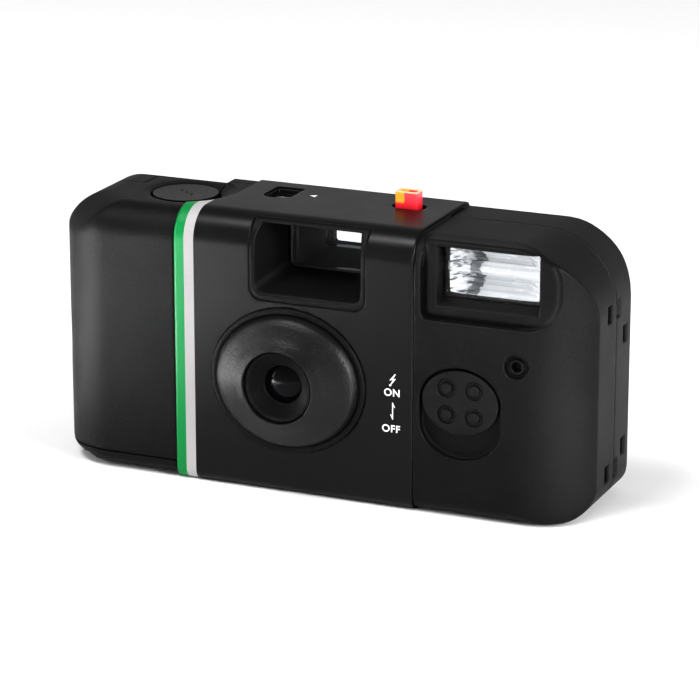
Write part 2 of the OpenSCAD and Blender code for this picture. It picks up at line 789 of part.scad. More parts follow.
module release_lever() {
    color("#d6d3cb") along_y(stem_y - lever_w / 2, stem_y + lever_w / 2) difference() {
        union() {
            translate([stem_x - 1, lever_z - lever_t / 2]) square([7.6, lever_t]);
            translate([lever_x, lever_z]) circle(1.5);
        }
        translate([lever_x, lever_z]) circle(pin_r + run);
    }
}

module wind_lock_lever() {
    color("#d6d3cb") translate([lock_x, lock_y, lock_z]) difference() {
        union() {
            cylinder(r = 1.6, h = 1.5);
            rotate(153) box([0, -0.7, 0], [3.3, 0.7, 1.5]);
            rotate(52) box([0, -0.6, 0], [3.1, 0.6, 1.5]);
        }
        translate([0, 0, -1]) cylinder(r = post_r + run, h = 4);
    }
}

// shutter button: disc, hidden arm and stem
module button_arm(grow, z0, z1) {
    reach = [stem_x - button_x, stem_y - button_y];
    turn = atan2(reach.y, reach.x);
    translate([button_x, button_y, 0]) rotate(turn)
        box([0, -1.5 - grow, z0], [norm(reach) + 1.6 + grow, 1.5 + grow, z1]);
}

module shutter_button() {
    color("#1d1d1e") union() {
        rod_z(button_x, button_y, button_top - button_t, button_top, button_r);
        button_arm(0, button_arm_z, button_arm_z + button_arm_t);
        rod_z(stem_x, stem_y, lever_z + lever_t / 2 + stem_r + 0.05, button_arm_z + button_arm_t / 2, stem_r);
        translate([stem_x, stem_y, lever_z + lever_t / 2 + stem_r + 0.05]) sphere(stem_r);
    }
}

module button_spring() {
    z0 = lever_z + 2.5 + 0.25;
    color("#b9bcc0") translate([stem_x, stem_y, z0])
        coil(1.3, 1.3, 0.16, 4, button_arm_z - 0.25 - z0);
}

// finder lenses
module finder_front_lens() {
    y0 = finder_back + 1.5 * gap;
    color("#c9d6de") intersection() {
        box([finder_x - tunnel_a - 0.5, y0, finder_floor + 0.2],
            [finder_x + tunnel_a + 0.5, y0 + finder_lens_t, finder_in_top + 0.2]);
        difference() {
            box([-far, y0, -far], [far, y0 + finder_lens_t, far]);
            translate([finder_x, y0 + 0.5 + 24, (finder_floor + finder_in_top) / 2]) sphere(24, $fn = 240);
        }
    }
}

module finder_rear_lens() {
    y1 = in_back - gap;
    color("#c9d6de") intersection() {
        box([finder_x - tunnel_a - 0.4, gate_y - 0.9, finder_floor + 0.2],
            [finder_x + tunnel_a + 0.4, y1, finder_in_top + 0.2]);
        translate([finder_x, y1 - 24, (finder_floor + finder_in_top) / 2]) sphere(24, $fn = 240);
    }
}

// counter and film transport
module counter_disc() {
    teeth = 28;
    color("#d9d9d6") translate([counter_x, counter_y, 0]) difference() {
        union() {
            along_z(counter_top - 0.7, counter_top) circle(counter_r);
            along_z(counter_top - 2.2, counter_top - 0.6)
                polygon([for (i = [0:2 * teeth - 1])
                    let (r = i % 2 == 0 ? counter_hub : counter_hub - 0.5)
                    [r * cos(180 * i / teeth), r * sin(180 * i / teeth)]]);
        }
        rod_z(0, 0, 0, far, 1 + run);
    }
}

module counter_window() {
    low = counter_win - counter_win_size / 2 + [gap, gap] / 2;
    high = counter_win + counter_win_size / 2 - [gap, gap] / 2;
    color("#b8c0c4") box(concat(low, in_top + 0.1), concat(high, side_top - 0.3));
}

module sprocket() {
    color("#d6d3cb") translate([sprocket_x, sprocket_y, 0]) difference() {
        union() {
            along_z(sprocket_z, sprocket_z + 2.4) circle(sprocket_r);
            for (i = [0:7])
                rotate(45 * i + 22.5) translate([0, 0, sprocket_z + 0.3]) along_z(0, 1.6)
                    polygon([[sprocket_r - 0.5, -0.8], [sprocket_tip, -0.4], [sprocket_tip, 0.4], [sprocket_r - 0.5, 0.8]]);
            rod_z(0, 0, sprocket_z - 1, sprocket_z + 1, 0.8);
            rod_z(0, 0, sprocket_z + 1, counter_top - 2.6, 1.5);
            along_z(deck_top + 0.6, deck_top + 2) circle(3.3);
            rod_z(0, 0, counter_top - 2.7, counter_top - 0.9, 0.8);
            along_z(counter_top - 1.9, counter_top - 1) polygon([[0, -0.35], [1.3, -0.2], [1.3, 0.2], [0, 0.35]]);
        }
        box([2.4, -0.9, deck_top + 0.5], [4, 0.9, deck_top + 2.1]);
    }
}

module thumb_wheel() {
    teeth = 44;
    color("#202022") translate([cart_x, cart_y, 0]) union() {
        along_z(wheel_z, wheel_top)
            polygon([for (i = [0:2 * teeth - 1])
                let (r = i % 2 == 0 ? wheel_r : wheel_r - 0.6)
                [r * cos(180 * i / teeth), r * sin(180 * i / teeth)]]);
        rod_z(0, 0, cart_top + 0.25, wheel_z + 1, 4.4);
        box([-2.6, -0.7, cart_top - 4], [2.6, 0.7, cart_top + 1]);
    }
}

module cartridge_spool() {
    color("#1f1f20") translate([cart_x, cart_y, 0]) difference() {
        rod_z(0, 0, cart_z + 0.6, cart_top - 0.1, 5.4);
        box([-2.6 - gap, -0.7 - gap, cart_top - 4.4], [2.6 + gap, 0.7 + gap, cart_top + 1]);
        rod_z(0, 0, cart_z, cart_z + 5, 2.6);
    }
}

module cartridge_shell() {
    cap = 1.6;
    color("#3c3f45") translate([cart_x, cart_y, 0]) difference() {
        union() {
            rod_z(0, 0, cart_z, cart_top, cart_r - 0.25);
            for (z = [cart_z, cart_top - cap]) rod_z(0, 0, z, z + cap, cart_r);
        }
        rod_z(0, 0, cart_z + 0.4, cart_top - 0.4, cart_r - 0.75);
        rod_z(0, 0, cart_z - 1, cart_top + 1, 5.4 + 0.15);
    }
}

module film_strip() {
    pitch = 4.75;
    x0 = cart_x + sqrt(pow(cart_r + 0.2, 2) - pow(film_y - cart_y, 2)) + 0.2;
    color("#4a3b35") difference() {
        box([x0, film_y, lens_z - film_w / 2], [roll_x, film_y + film_t, lens_z + film_w / 2]);
        for (x = [x0 + 2:pitch:roll_x - 3], z = [lens_z - film_w / 2 + 3.4, lens_z + film_w / 2 - 3.4])
            translate([x, film_y, z]) cube([2, 2, 2.8], center = true);
        box([sprocket_x - 5, film_y - 1, sprocket_z], [sprocket_x + 5, film_y + 1, sprocket_z + 2.4]);
    }
}

module film_roll() {
    color("#4a3b35") translate([roll_x, roll_y, 0]) difference() {
        rod_z(0, 0, lens_z - film_w / 2, lens_z + film_w / 2, roll_r);
        rod_z(0, 0, 0, far, 5);
    }
}

module supply_spool() {
    z0 = supply_floor + gap;
    z1 = deck_z - 1 - gap;
    color("#1f1f20") translate([roll_x, roll_y, 0]) union() {
        rod_z(0, 0, z0, z1, 4.95);
        rod_z(0, 0, z0 - 1, z1 + 1, spool_pin_r);
    }
}

// flash unit
module flash_window() {
    color("#dfe6ea") along_y(window_y, window_y + window_t)
        translate([window_x0, window_z0]) square([window_l, window_h]);
}

module flash_reflector() {
    r = window_h / 2 - reflector_edge;
    x0 = window_x0 + reflector_side;
    x1 = window_x0 + window_l - reflector_side;
    color("#d8dadc") difference() {
        intersection() {
            box([x0, reflector_y, tube_z - r], [x1, reflector_y + reflector_d, tube_z + r]);
            rod_x(x0, x1, reflector_y + 0.8, tube_z, 5);
        }
        intersection() {
            box([x0 + 0.5, reflector_y - 1, tube_z - r + 0.4], [x1 - 0.5, reflector_y + reflector_d, tube_z + r - 0.4]);
            rod_x(x0, x1, reflector_y + 0.8, tube_z, 4.6);
        }
        rod_x(x0 - 1, x1 + 1, tube_y - 0.9, tube_z, tube_r + 0.1);
    }
}

module flash_tube() {
    x0 = window_x0 + reflector_side - tube_reach;
    x1 = window_x0 + window_l - reflector_side + tube_reach;
    color("#cfd8dc") rod_x(x0, x1, tube_y - 0.9, tube_z, tube_r);
}

module circuit_board() {
    color("#5a4a24") along_y(board_y, board_y + board_t)
        translate([board_x0, 3]) square([board_x1 - board_x0, board_z1 - 3]);
}

module flash_capacitor() {
    color("#23252b") rod_z(cap_x, cap_y, cap_z, cap_z + cap_h, cap_r);
}

module flash_transformer() {
    z0 = cap_z + cap_h + gap;
    color("#6b4a2f") union() {
        box([cap_x - 3.6, cap_y + 1.1, z0], [cap_x + 3.4, cap_y + 6.9, z0 + 1]);
        rod_z(cap_x, cap_y + 4, z0 + 0.5, z0 + 5.5, 2.6);
        box([cap_x - 3.6, cap_y + 1.1, z0 + 5], [cap_x + 3.4, cap_y + 6.9, z0 + 6]);
    }
}

module trigger_coil() {
    color("#7a4b2c") rod_z(roll_x - 4.8, roll_y - 3.5, deck_z + gap, deck_z + 8, 1.7);
}

module ready_lamp() {
    color("#e8a27c") union() {
        rod_z(guide_x + guide_w / 2, guide_y - lamp_r - 0.6, deck_top + gap, deck_top + 6, lamp_r);
        translate([guide_x + guide_w / 2, guide_y - lamp_r - 0.6, deck_top + 6]) sphere(lamp_r);
    }
}

module light_guide() {
    color("#e0281c") box([guide_x, guide_y, arm_z + arm_t], [guide_x + guide_w, guide_y + guide_d, body_h + guide_out]);
}

module flash_switch() {
    bumps = [for (x = [-2.75, 2.75], z = [-2.6, 2.6]) [x, z]];
    face_y = front_y + 0.2;
    color("#1e1e1f") difference() {
        union() {
            along_y(face_y, front_y + recess_d - gap) translate([switch_x, switch_z]) ellipse(switch_a, switch_b);
            for (p = bumps) rod_y(switch_x + p.x, switch_z + p.y, face_y - 0.1, face_y + 0.8, 1.15);
            box([switch_x - slot_w / 2, front_y + recess_d - gap - 0.1, switch_z - 2],
                [switch_x + slot_w / 2, slider_y + 0.05, switch_z + 2]);
        }
        for (p = bumps)
            difference() {
                rod_y(switch_x + p.x, switch_z + p.y, -far, face_y + 0.5, 1.75);
                rod_y(switch_x + p.x, switch_z + p.y, -far, far, 1.15);
            }
    }
}

module switch_arm() {
    top = arm_z + arm_t;
    color("#d6d3cb") union() {
        box([arm_x, slider_y + 0.05, switch_z - 3], [switch_x + 4, slider_y + slider_t, switch_z + 3]);
        box([arm_x, slider_y + 0.05, switch_z - 3], [arm_x + arm_w, slider_y + slider_t, top]);
        box([arm_x, slider_y + 0.05, arm_z], [arm_x + arm_w, guide_y + guide_d, top]);
        box([guide_x, guide_y, arm_z], [arm_x + arm_w, guide_y + guide_d, top]);
    }
}

module switch_contact() {
    color("#c8a85a") box([switch_x - 2.5, slider_y + slider_t, switch_z - 2], [switch_x + 2.5, board_y - gap / 2, switch_z - 0.8]);
}

module sync_contact() {
    color("#c8a85a") for (x = [5.2, 7.4])
        box([lens_x + x, plate_y - 0.5, lens_z + 4], [lens_x + x + 1.2, plate_y - 0.1, lens_z + 10.5]);
}

module battery() {
    color("#30343a") union() {
        rod_x(battery_x0, battery_x1 - 1, battery_y, battery_z, battery_r);
        rod_x(battery_x1 - 1.5, battery_x1, battery_y, battery_z, 1.9);
    }
}

module battery_contact_plus() {
    color("#c9ccd0") box([battery_x1 + 0.1, battery_y - 3.4, battery_z - 3.2], [battery_x1 + 0.5, battery_y + 2.6, battery_z + 3.2]);
}

module battery_contact_minus() {
    color("#c9ccd0") union() {
        box([battery_x0 - 1.4, battery_y - 3.4, battery_z - 3.2], [battery_x0 - 1.1, battery_y + 2.6, battery_z + 3.2]);
        translate([battery_x0 - 1.2, battery_y, battery_z]) rotate([0, 90, 0]) coil(2.5, 1.2, 0.18, 2, 0.9);
    }
}

front_cover();
rear_cover();
printed_sleeve();
cartridge_door();
chassis();
lens_bezel();
lens_retainer();
taking_lens();
lens_holder();
aperture_plate();
shutter_blade();
blade_spring();
shutter_hammer();
hammer_spring();
release_lever();
wind_lock_lever();
shutter_button();
button_spring();
finder_front_lens();
finder_rear_lens();
counter_disc();
counter_window();
sprocket();
thumb_wheel();
cartridge_spool();
cartridge_shell();
film_strip();
film_roll();
supply_spool();
flash_window();
flash_reflector();
flash_tube();
circuit_board();
flash_capacitor();
flash_transformer();
trigger_coil();
ready_lamp();
light_guide();
flash_switch();
switch_arm();
switch_contact();
sync_contact();
battery();
battery_contact_plus();
battery_contact_minus();
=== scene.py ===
import json
import math

import bmesh
import bpy
import numpy as np
from mathutils import Matrix, Vector


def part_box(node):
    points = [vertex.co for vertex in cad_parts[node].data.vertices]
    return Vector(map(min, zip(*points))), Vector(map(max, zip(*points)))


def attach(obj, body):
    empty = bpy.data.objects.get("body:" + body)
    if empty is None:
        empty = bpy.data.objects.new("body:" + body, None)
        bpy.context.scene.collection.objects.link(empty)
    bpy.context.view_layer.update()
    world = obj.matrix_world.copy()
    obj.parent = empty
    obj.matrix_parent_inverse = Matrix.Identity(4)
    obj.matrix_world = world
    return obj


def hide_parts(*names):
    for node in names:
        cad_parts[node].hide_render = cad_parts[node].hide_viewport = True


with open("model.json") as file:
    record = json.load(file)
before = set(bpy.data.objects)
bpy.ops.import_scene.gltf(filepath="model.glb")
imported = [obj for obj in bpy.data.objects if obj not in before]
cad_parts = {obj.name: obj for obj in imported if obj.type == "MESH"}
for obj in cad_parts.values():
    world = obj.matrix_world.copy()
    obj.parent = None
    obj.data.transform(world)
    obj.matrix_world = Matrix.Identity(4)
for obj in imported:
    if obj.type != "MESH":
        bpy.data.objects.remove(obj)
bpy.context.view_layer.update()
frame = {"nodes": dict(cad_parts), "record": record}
nodes = frame["nodes"]

# sizes of the case in millimetres, as in the part's source
MM = 0.001
LEFT, RIGHT = -55.0, 55.0
FRONT, BACK = -11.5, 17.0
RIM = -17.0
BODY_H = 54.0
SIDE_TOP, SIDE_LIFT = 53.3, 0.5
WALL = 1.4
SEAM, SEAM_GAP = 7.0, 0.07
TOP_SEAM_X, TOP_SEAM_Y, TOP_SEAM_LIP = -43.0, 13.0, 0.6
SLEEVE = (-27.8, 21.5)
SLEEVE_T, SLEEVE_FIT = 0.3, 0.06
SLEEVE_NOTCH_R, SLEEVE_NOTCH_D = 11.0, 1.4
STRIPE_ENDS = (-25.7, -23.65)
END_SWELL = 1.6
END_RADII = (5.0, 5.5, 14.5, 9.0)
PLAN_RADII = (12.0, 16.0, 5.5, 4.5)
SIDE_RADII = (2.5, 2.0, 1.5, 6.0)
GRIP_TOP_R, GRIP_SPARE = 10.0, 0.4
HOLLOW_D, HOLLOW_R, HOLLOW_LIFT = 1.0, 18.0, 1.6
LENS, LENS_HOLE_R = (-4.0, 22.8), 6.5
BAND, BAND_W, BAND_RISE = (15.9, 14.2), 1.3, 0.5
RIM_R = 7.0
FINDER_X, FINDER_A, FINDER_Z = -0.1, 11.0, 39.4
FINDER_TOP, FINDER_BACK, FINDER_FLOOR = 52.6, -1.9, 42.8
FINDER_IN_TOP, FINDER_CORNER, FINDER_SPARE = 50.8, 1.9, 0.5
FRAME_W, FRAME_FOOT, FRAME_FIT, FRAME_TOP, FRAME_IN = 1.0, 0.5, 0.1, 0.75, 0.02
TUNNEL_A, TUNNEL_WALL = 6.6, 1.2
EYE_EDGE, EYE_LIFT, EYE_D = 0.4, 0.3, 1.0
FLASH_Y, FLASH_X, FLASH_Z = -10.3, (23.0, 49.8), (38.3, 53.2)
FLASH_RADII = (1.5, 6.2, 6.2, 0.8)
FLASH_GAP, FLASH_SINK, FLASH_D, FACE_IN = 0.15, 0.5, 3.6, 0.1
FLANGE_W, FLANGE_T, FLANGE_AT, FLANGE_IN = 1.2, 1.2, 1.0, 0.8
WINDOW_X, WINDOW_Y, WINDOW_Z = (25.9, 45.6), (-7.9, -6.8), (42.2, 51.9)
WINDOW_GAP, WINDOW_BACK = 0.2, 1.0
WINDOW_RADII = (0.3, 0.3, 0.5, 0.5)
SILL_H, SILL_LEAN = 1.6, 0.86
REFLECTOR_SIDE, REFLECTOR_EDGE = 1.1, 0.5
# x range of a ragged band of painted shade across the flash reflector
REFLECTOR_SHADE_BAND = (31.2, 33.4)
SWITCH = (30.9, 22.7)
SWITCH_A, SWITCH_B, SWITCH_TRAVEL = 7.65, 6.3, 4.4
SWITCH_Y, SWITCH_GAP = FRONT + 0.2, 0.45
BUMP_AT, PEG_R, PEG_RISE, PEG_D = (2.75, 2.6), 1.1, 0.1, 0.8
MOAT_R, MOAT_D = 1.75, 0.55
RECESS_D, RECESS_WALL, RECESS_FLOOR = 1.7, 1.4, 0.9
TONGUE, TONGUE_A, TONGUE_BACK = 1.2, 1.5, FRONT + 2.85
SLOT_A, SLOT_GAP, SLOT_BACK = 1.7, 0.3, FRONT + 2.8
ACCESS, ACCESS_R, ACCESS_D = (41.9, 31.0), 0.95, 2.4
TUBE_R, TUBE_SINK, TUBE_MOAT_R = 1.5, 0.35, 2.25
TUBE_FLOOR_R, TUBE_FLOOR_T, TUBE_FLOOR_FROM = 1.7, 0.4, 0.5
BUTTON = (-32.8, 4.3)
BUTTON_R, BUTTON_TOP, BUTTON_GAP = 6.4, 53.0, 0.35
BUTTON_FLOOR = SIDE_TOP - WALL - 1
DISH_SHIFT, DISH_R, DISH_W = (0.7, 0.2), 6.1, 2.6
DISH_Z, DISH_SLOPE, DISH_LEAN = 52.35, 0.42, 0.9
ARM_L, ARM_A, ARM_Z = 14.0, 1.85, 49.9
COUNTER_WIN = ((-16.4, 4.45), (-11.2, 12.05))
COUNTER_RADII, COUNTER_FLOOR = (1.6, 2.0, 0.5, 0.5), 50.5
PANE_Z, PANE_GAP, PANE_MARGIN = (52.0, 53.0), 0.1, 0.35
GUIDE_X, GUIDE_Y = (10.3, 14.9), (6.4, 9.4)
GUIDE_GAP, GUIDE_SLOT_R, GUIDE_FLOOR, GUIDE_MARGIN = (0.9, 1.1, 0.4), 1.8, 40.0, 0.1
LATCHES = ((3.3, 38.7), (3.3, 7.4), (12.2, 32.8), (12.2, 10.5))
LATCH_SIZE, LATCH_D = (2.0, 3.2), 3.0
PRY_Z, PRY_H, PRY_W, PRY_D = (38.8, 7.2), 1.7, 2.0, 0.6
CART, CART_HOLE_R, CART_HOLE_Z = (-39.2, 3.1), 10.6, 1.9
WHEEL_Z, WHEEL_R = (45.5, 48.7), 12.6
WHEEL_GAP, WHEEL_SIDE_GAP = 0.4, 0.5
LIP_A, LIP_D, LIP_H = 9.0, 2.0, 1.4
NOTCH_R, NOTCH_OUT, NOTCH_RISE = 8.0, 5.4, 0.6
RAIL_A, RAIL_H, RAIL_Y, RAIL_RISES = 18.0, 0.5, 14.3, (-15.7, 16.3)
DOOR_Z, DOOR_LIFT, DOOR_INSET, DOOR_R = 3.5, 0.3, 3.4, 11.6
DOOR_GAP, DOOR_FLANGE, DOOR_SINK = 0.2, 1.3, 0.1
DOOR_RADII = (DOOR_R, 0.2, 0.2, 2.0)
HINGE_Y, HINGE_Z, HINGE_R = 14.2, 1.0, 0.7
HINGE_GAP, HINGE_END = 0.2, 1.0

# how far a joined form reaches into its neighbour, and how far edges are rounded off
SINK = 0.2
EDGE_ROUND, HOLE_ROUND, STEP_ROUND, OPENING_ROUND, DISH_ROUND = 0.3, 0.2, 0.25, 0.35, 0.5
HOLLOW_ROUND, FLASH_ROUND, FACE_ROUND, EYE_ROUND = 1.2, 0.7, 1.3, 0.6
CREASE_ROUND, GRIP_ROUND = 0.7, 4.0
GRIP_FROM, GRIP_FADE = 20.0, 40.0

# farther than any face of the case, and the share of a diagonal along each axis
FAR = 200.0
DIAGONAL = math.sqrt(0.5)


# distance fields: each takes and gives arrays in millimetres, negative inside
def round_rect(u, v, low, high, radii):
    """Distance and slope of a rectangle with a radius of its own at each corner."""
    mid_u, mid_v = (low[0] + high[0]) / 2, (low[1] + high[1]) / 2
    upper, beyond = v > mid_v, u > mid_u
    r = np.where(beyond, np.where(upper, radii[2], radii[1]), np.where(upper, radii[3], radii[0]))
    a = np.abs(u - mid_u) - (high[0] - low[0]) / 2 + r
    b = np.abs(v - mid_v) - (high[1] - low[1]) / 2 + r
    out_a, out_b = np.maximum(a, 0), np.maximum(b, 0)
    length = np.hypot(out_a, out_b)
    d = length + np.minimum(np.maximum(a, b), 0) - r
    safe = np.maximum(length, 1e-6)
    slope_u = np.where(length > 0, out_a / safe, a > b) * np.sign(u - mid_u)
    slope_v = np.where(length > 0, out_b / safe, b >= a) * np.sign(v - mid_v)
    return d, slope_u, slope_v


def meet(p, q, k):
    """Intersection of two (distance, slope) forms, rounded by k only where their faces cross at an angle."""
    d1, g1 = p
    d2, g2 = q
    along = sum(a * b for a, b in zip(g1, g2))
    k = k * np.clip(1 - along, 0, 1) + 1e-3
    near = np.maximum(k - np.abs(d1 - d2), 0) / k
    w = np.clip(0.5 + (d1 - d2) / (2 * k), 0, 1)
    slope = tuple(w * a + (1 - w) * b for a, b in zip(g1, g2))
    return np.maximum(d1, d2) + near * near * k / 4, slope


def smooth_max(a, b, k):
    near = np.maximum(k - np.abs(a - b), 0) / k
    return np.maximum(a, b) + near * near * k / 4


def smooth_min(a, b, k):
    return -smooth_max(-a, -b, k)


def carve(solid, cut, k=EDGE_ROUND):
    return smooth_max(solid, -cut, k)


def join(first, *others):
    """What lies in any of the fields."""
    for other in others:
        first = np.minimum(first, other)
    return first


def cross(first, *others):
    """What lies in all of the fields."""
    for other in others:
        first = np.maximum(first, other)
    return first


def between(value, low, high):
    return np.maximum(low - value, value - high)


def box_field(x, y, z, low, high):
    return cross(*[between(*row) for row in zip((x, y, z), low, high)])


def corner_field(u, v, r):
    """Distance from two faces that meet in a corner rounded by r."""
    u, v = u + r, v + r
    return np.hypot(np.maximum(u, 0), np.maximum(v, 0)) + np.minimum(np.maximum(u, v), 0) - r


def ellipse_field(u, v, a, b):
    size = np.hypot(u / a, v / b)
    steep = np.hypot(u / a ** 2, v / b ** 2)
    return (size - 1) * size / np.maximum(steep, 1e-3)


def inset(radii, t):
    return [max(r - t, 0.2) for r in radii]


def case_form(x, y, z, t):
    """The moulded case beside the sleeve, drawn in by t."""
    zero = np.zeros_like(x)
    low, high = (LEFT + t, FRONT + t, SIDE_LIFT + t), (RIGHT - t, BACK - t, SIDE_TOP - t)
    end, ex, ez = round_rect(x, z, low[::2], high[::2], inset(END_RADII, t))
    plan, px, py = round_rect(x, y, low[:2], (high[0] + END_SWELL, high[1]), inset(PLAN_RADII, t))
    side, sy, sz = round_rect(y, z, low[1:], high[1:], inset(SIDE_RADII, t))
    # the grip is softer than the flash end, whose front meets its side in a crease
    soft = np.clip((GRIP_FROM - x) / GRIP_FADE, 0, 1)
    k = CREASE_ROUND + (GRIP_ROUND - CREASE_ROUND) * soft
    front_and_top = meet((plan, (px, py, zero)), (side, (zero, sy, sz)), k)
    d, slope = meet(front_and_top, (end, (ex, zero, ez)), k)
    # grip corner, cut by a rounded prism across the diagonal
    reach = -(x - (LEFT + PLAN_RADII[0]) + y - (FRONT + PLAN_RADII[0])) * DIAGONAL
    limit = PLAN_RADII[0] + GRIP_SPARE - t
    radii = inset((1, 1, GRIP_TOP_R, 1), t)
    corner, cu, cz = round_rect(reach, z, (-FAR, -FAR), (limit, SIDE_TOP - t), radii)
    lean = -cu * DIAGONAL
    d, slope = meet((d, slope), (corner, (lean, lean, cz)), k)
    hollow = np.hypot(x - (LEFT + HOLLOW_D - HOLLOW_R), z - (LENS[1] + HOLLOW_LIFT)) - HOLLOW_R
    return carve(d, hollow - t, HOLLOW_ROUND)


def sleeve_profile(y, z, t):
    """The band that the sleeve wraps, drawn in by t."""
    return round_rect(y, z, (FRONT + t, t), (BACK - t, BODY_H - t), inset(SIDE_RADII, t))[0]


def case_shell(x, y, z):
    """Both covers as one hollow shell."""
    in_sleeve = between(x, *SLEEVE)
    beside = cross(case_form(x, y, z, 0.0), -in_sleeve)
    under = cross(sleeve_profile(y, z, SLEEVE_T + SLEEVE_FIT), in_sleeve)
    return cross(join(beside, under), -case_form(x, y, z, WALL))


def front_zone(x, y, z, grow):
    """What belongs to the front cover: all before the seam, and a tongue along the top."""
    low = (TOP_SEAM_X - grow, -FAR, SIDE_TOP - WALL - TOP_SEAM_LIP - grow)
    high = (SLEEVE[1] + grow, TOP_SEAM_Y + grow, FAR)
    return join(y - SEAM - grow, box_field(x, y, z, low, high))


def door_zone(x, y, z):
    high = (SLEEVE[0] + DOOR_GAP / 2, HINGE_Y + DOOR_GAP, DOOR_Z + DOOR_GAP)
    return box_field(x, y, z, (-FAR, -FAR, -FAR), high)


def latch_field(x, y, z):
    """Holes in the flash end, one for each latch."""
    d = np.full_like(x, FAR)
    for row_y, row_z in LATCHES:
        low = (RIGHT - LATCH_D, row_y - LATCH_SIZE[0] / 2, row_z - LATCH_SIZE[1] / 2)
        high = (RIGHT + LATCH_D, row_y + LATCH_SIZE[0] / 2, row_z + LATCH_SIZE[1] / 2)
        d = join(d, box_field(x, y, z, low, high))
    return d


def lens_oval(x, z, grow):
    return ellipse_field(x - LENS[0], z - LENS[1], BAND[0] + grow, BAND[1] + grow)


def funnel(x, y, z):
    """Finder opening, which narrows towards the back and has round lower corners."""
    share = np.clip((y - FRONT) / (FINDER_BACK - FRONT), 0, 1)
    half = FINDER_A + (TUNNEL_A + TUNNEL_WALL - FINDER_A) * share
    floor = FINDER_Z + (FINDER_FLOOR - FINDER_Z) * share
    return cross(corner_field(np.abs(x - FINDER_X) - half, floor - z, FINDER_CORNER), z - FINDER_TOP)


def finder_frame(x, z, grow):
    """Outline of the finder's frame on the front, wider at its foot, with round lower corners."""
    side = np.abs(x - FINDER_X) - FINDER_A - grow
    foot = FINDER_Z - FRAME_FOOT - grow - z
    return corner_field(side, foot, FINDER_CORNER + grow)


def eyepiece(x, y, z, from_y):
    """Opening in the back for the finder."""
    half = TUNNEL_A - EYE_EDGE
    low = (FINDER_X - half, from_y, FINDER_FLOOR + EYE_LIFT)
    return box_field(x, y, z, low, (FINDER_X + half, FAR, FINDER_IN_TOP - EYE_EDGE))


def switch_track(x, z, grow):
    """Oval that the switch sweeps from its upper to its lower place."""
    low = SWITCH[1] - SWITCH_TRAVEL
    v = np.maximum(z - SWITCH[1], 0) + np.minimum(z - low, 0)
    return ellipse_field(x - SWITCH[0], v, SWITCH_A + grow, SWITCH_B + grow)


def flash_outline(x, z, t):
    low, high = (FLASH_X[0] + t, FLASH_Z[0] + t), (FLASH_X[1] - t, FLASH_Z[1] - t)
    return round_rect(x, z, low, high, inset(FLASH_RADII, t))[0]


def flash_opening(x, y, z):
    """Opening in front of the flash window, with a sloping sill below."""
    depth = np.clip((WINDOW_Y[0] - y) / (WINDOW_Y[0] - FLASH_Y), 0, 1)
    low = (WINDOW_X[0] - WINDOW_GAP, WINDOW_Z[0] - WINDOW_GAP)
    high = (WINDOW_X[1] + WINDOW_GAP, WINDOW_Z[1] + WINDOW_GAP)
    upper = round_rect(x, z, low, high, WINDOW_RADII)[0]
    slope = (low[1] - (SILL_H - WINDOW_GAP) * depth - z) * SILL_LEAN
    return join(upper, cross(slope, between(x, low[0], high[0]), z - WINDOW_Z[1], y - WINDOW_Y[0]))


def counter_outline(x, y, z, grow):
    """Counter window: straight at the back and rounded towards the front."""
    low = (COUNTER_WIN[0][0] - grow, COUNTER_WIN[0][1] - grow)
    high = (COUNTER_WIN[1][0] + grow, COUNTER_WIN[1][1] + grow)
    return cross(round_rect(x, y, low, high, [r + grow for r in COUNTER_RADII])[0], COUNTER_FLOOR - z)


def guide_slot(x, y, z):
    """Slot with round ends for the ready light."""
    low = (GUIDE_X[0] - GUIDE_GAP[0], GUIDE_Y[0] - GUIDE_GAP[2])
    high = (GUIDE_X[1] + GUIDE_GAP[1], GUIDE_Y[1] + GUIDE_GAP[2])
    return cross(round_rect(x, y, low, high, [GUIDE_SLOT_R] * 4)[0], GUIDE_FLOOR - z)


# forms of the front cover, each added to the distance d or cut from it
def with_flash_face(d, x, y, z):
    """Recess for the flash, a flange behind it, and the face with its collar."""
    recess = smooth_max(flash_outline(x, z, -FLASH_GAP), y - FLASH_Y - FLASH_SINK, DISH_ROUND)
    d = carve(d, recess, FLASH_ROUND)
    flange = cross(flash_outline(x, z, -FLANGE_W), np.abs(y - FLASH_Y - FLANGE_AT) - FLANGE_T / 2)
    d = join(d, cross(flange, case_form(x, y, z, FLANGE_IN)))
    end = round_rect(x, z, (LEFT, SIDE_LIFT), (RIGHT, SIDE_TOP), END_RADII)[0]
    face = cross(flash_outline(x, z, 0), end + FACE_IN)
    face = smooth_max(face, FLASH_Y - y, FACE_ROUND)
    return smooth_min(d, cross(face, y - FLASH_Y - FLASH_D), STEP_ROUND)


def with_frame_and_band(d, x, y, z):
    """Finder frame, lens band and the wall behind the switch."""
    block = cross(finder_frame(x, z, FRAME_W - FRAME_FIT), z - FINDER_TOP - FRAME_TOP, y - FINDER_BACK)
    block = cross(block, sleeve_profile(y, z, FRAME_IN))
    band = smooth_max(lens_oval(x, z, 0), between(y, FRONT - BAND_RISE, FRONT + WALL), STEP_ROUND)
    wall = between(y, FRONT + WALL - SINK, FRONT + RECESS_D + RECESS_FLOOR)
    wall = cross(switch_track(x, z, RECESS_WALL), wall)
    return join(d, block, band, wall)


def with_front_openings(d, x, y, z):
    """Lens seat and hole, finder opening and flash opening."""
    d = carve(d, cross(lens_oval(x, z, -BAND_W), y - FRONT - SLEEVE_T), OPENING_ROUND)
    d = carve(d, np.hypot(x - LENS[0], z - LENS[1]) - LENS_HOLE_R)
    d = carve(d, cross(funnel(x, y, z), y - FINDER_BACK - FINDER_SPARE), OPENING_ROUND)
    return carve(d, cross(flash_opening(x, y, z), y - WINDOW_BACK), OPENING_ROUND)


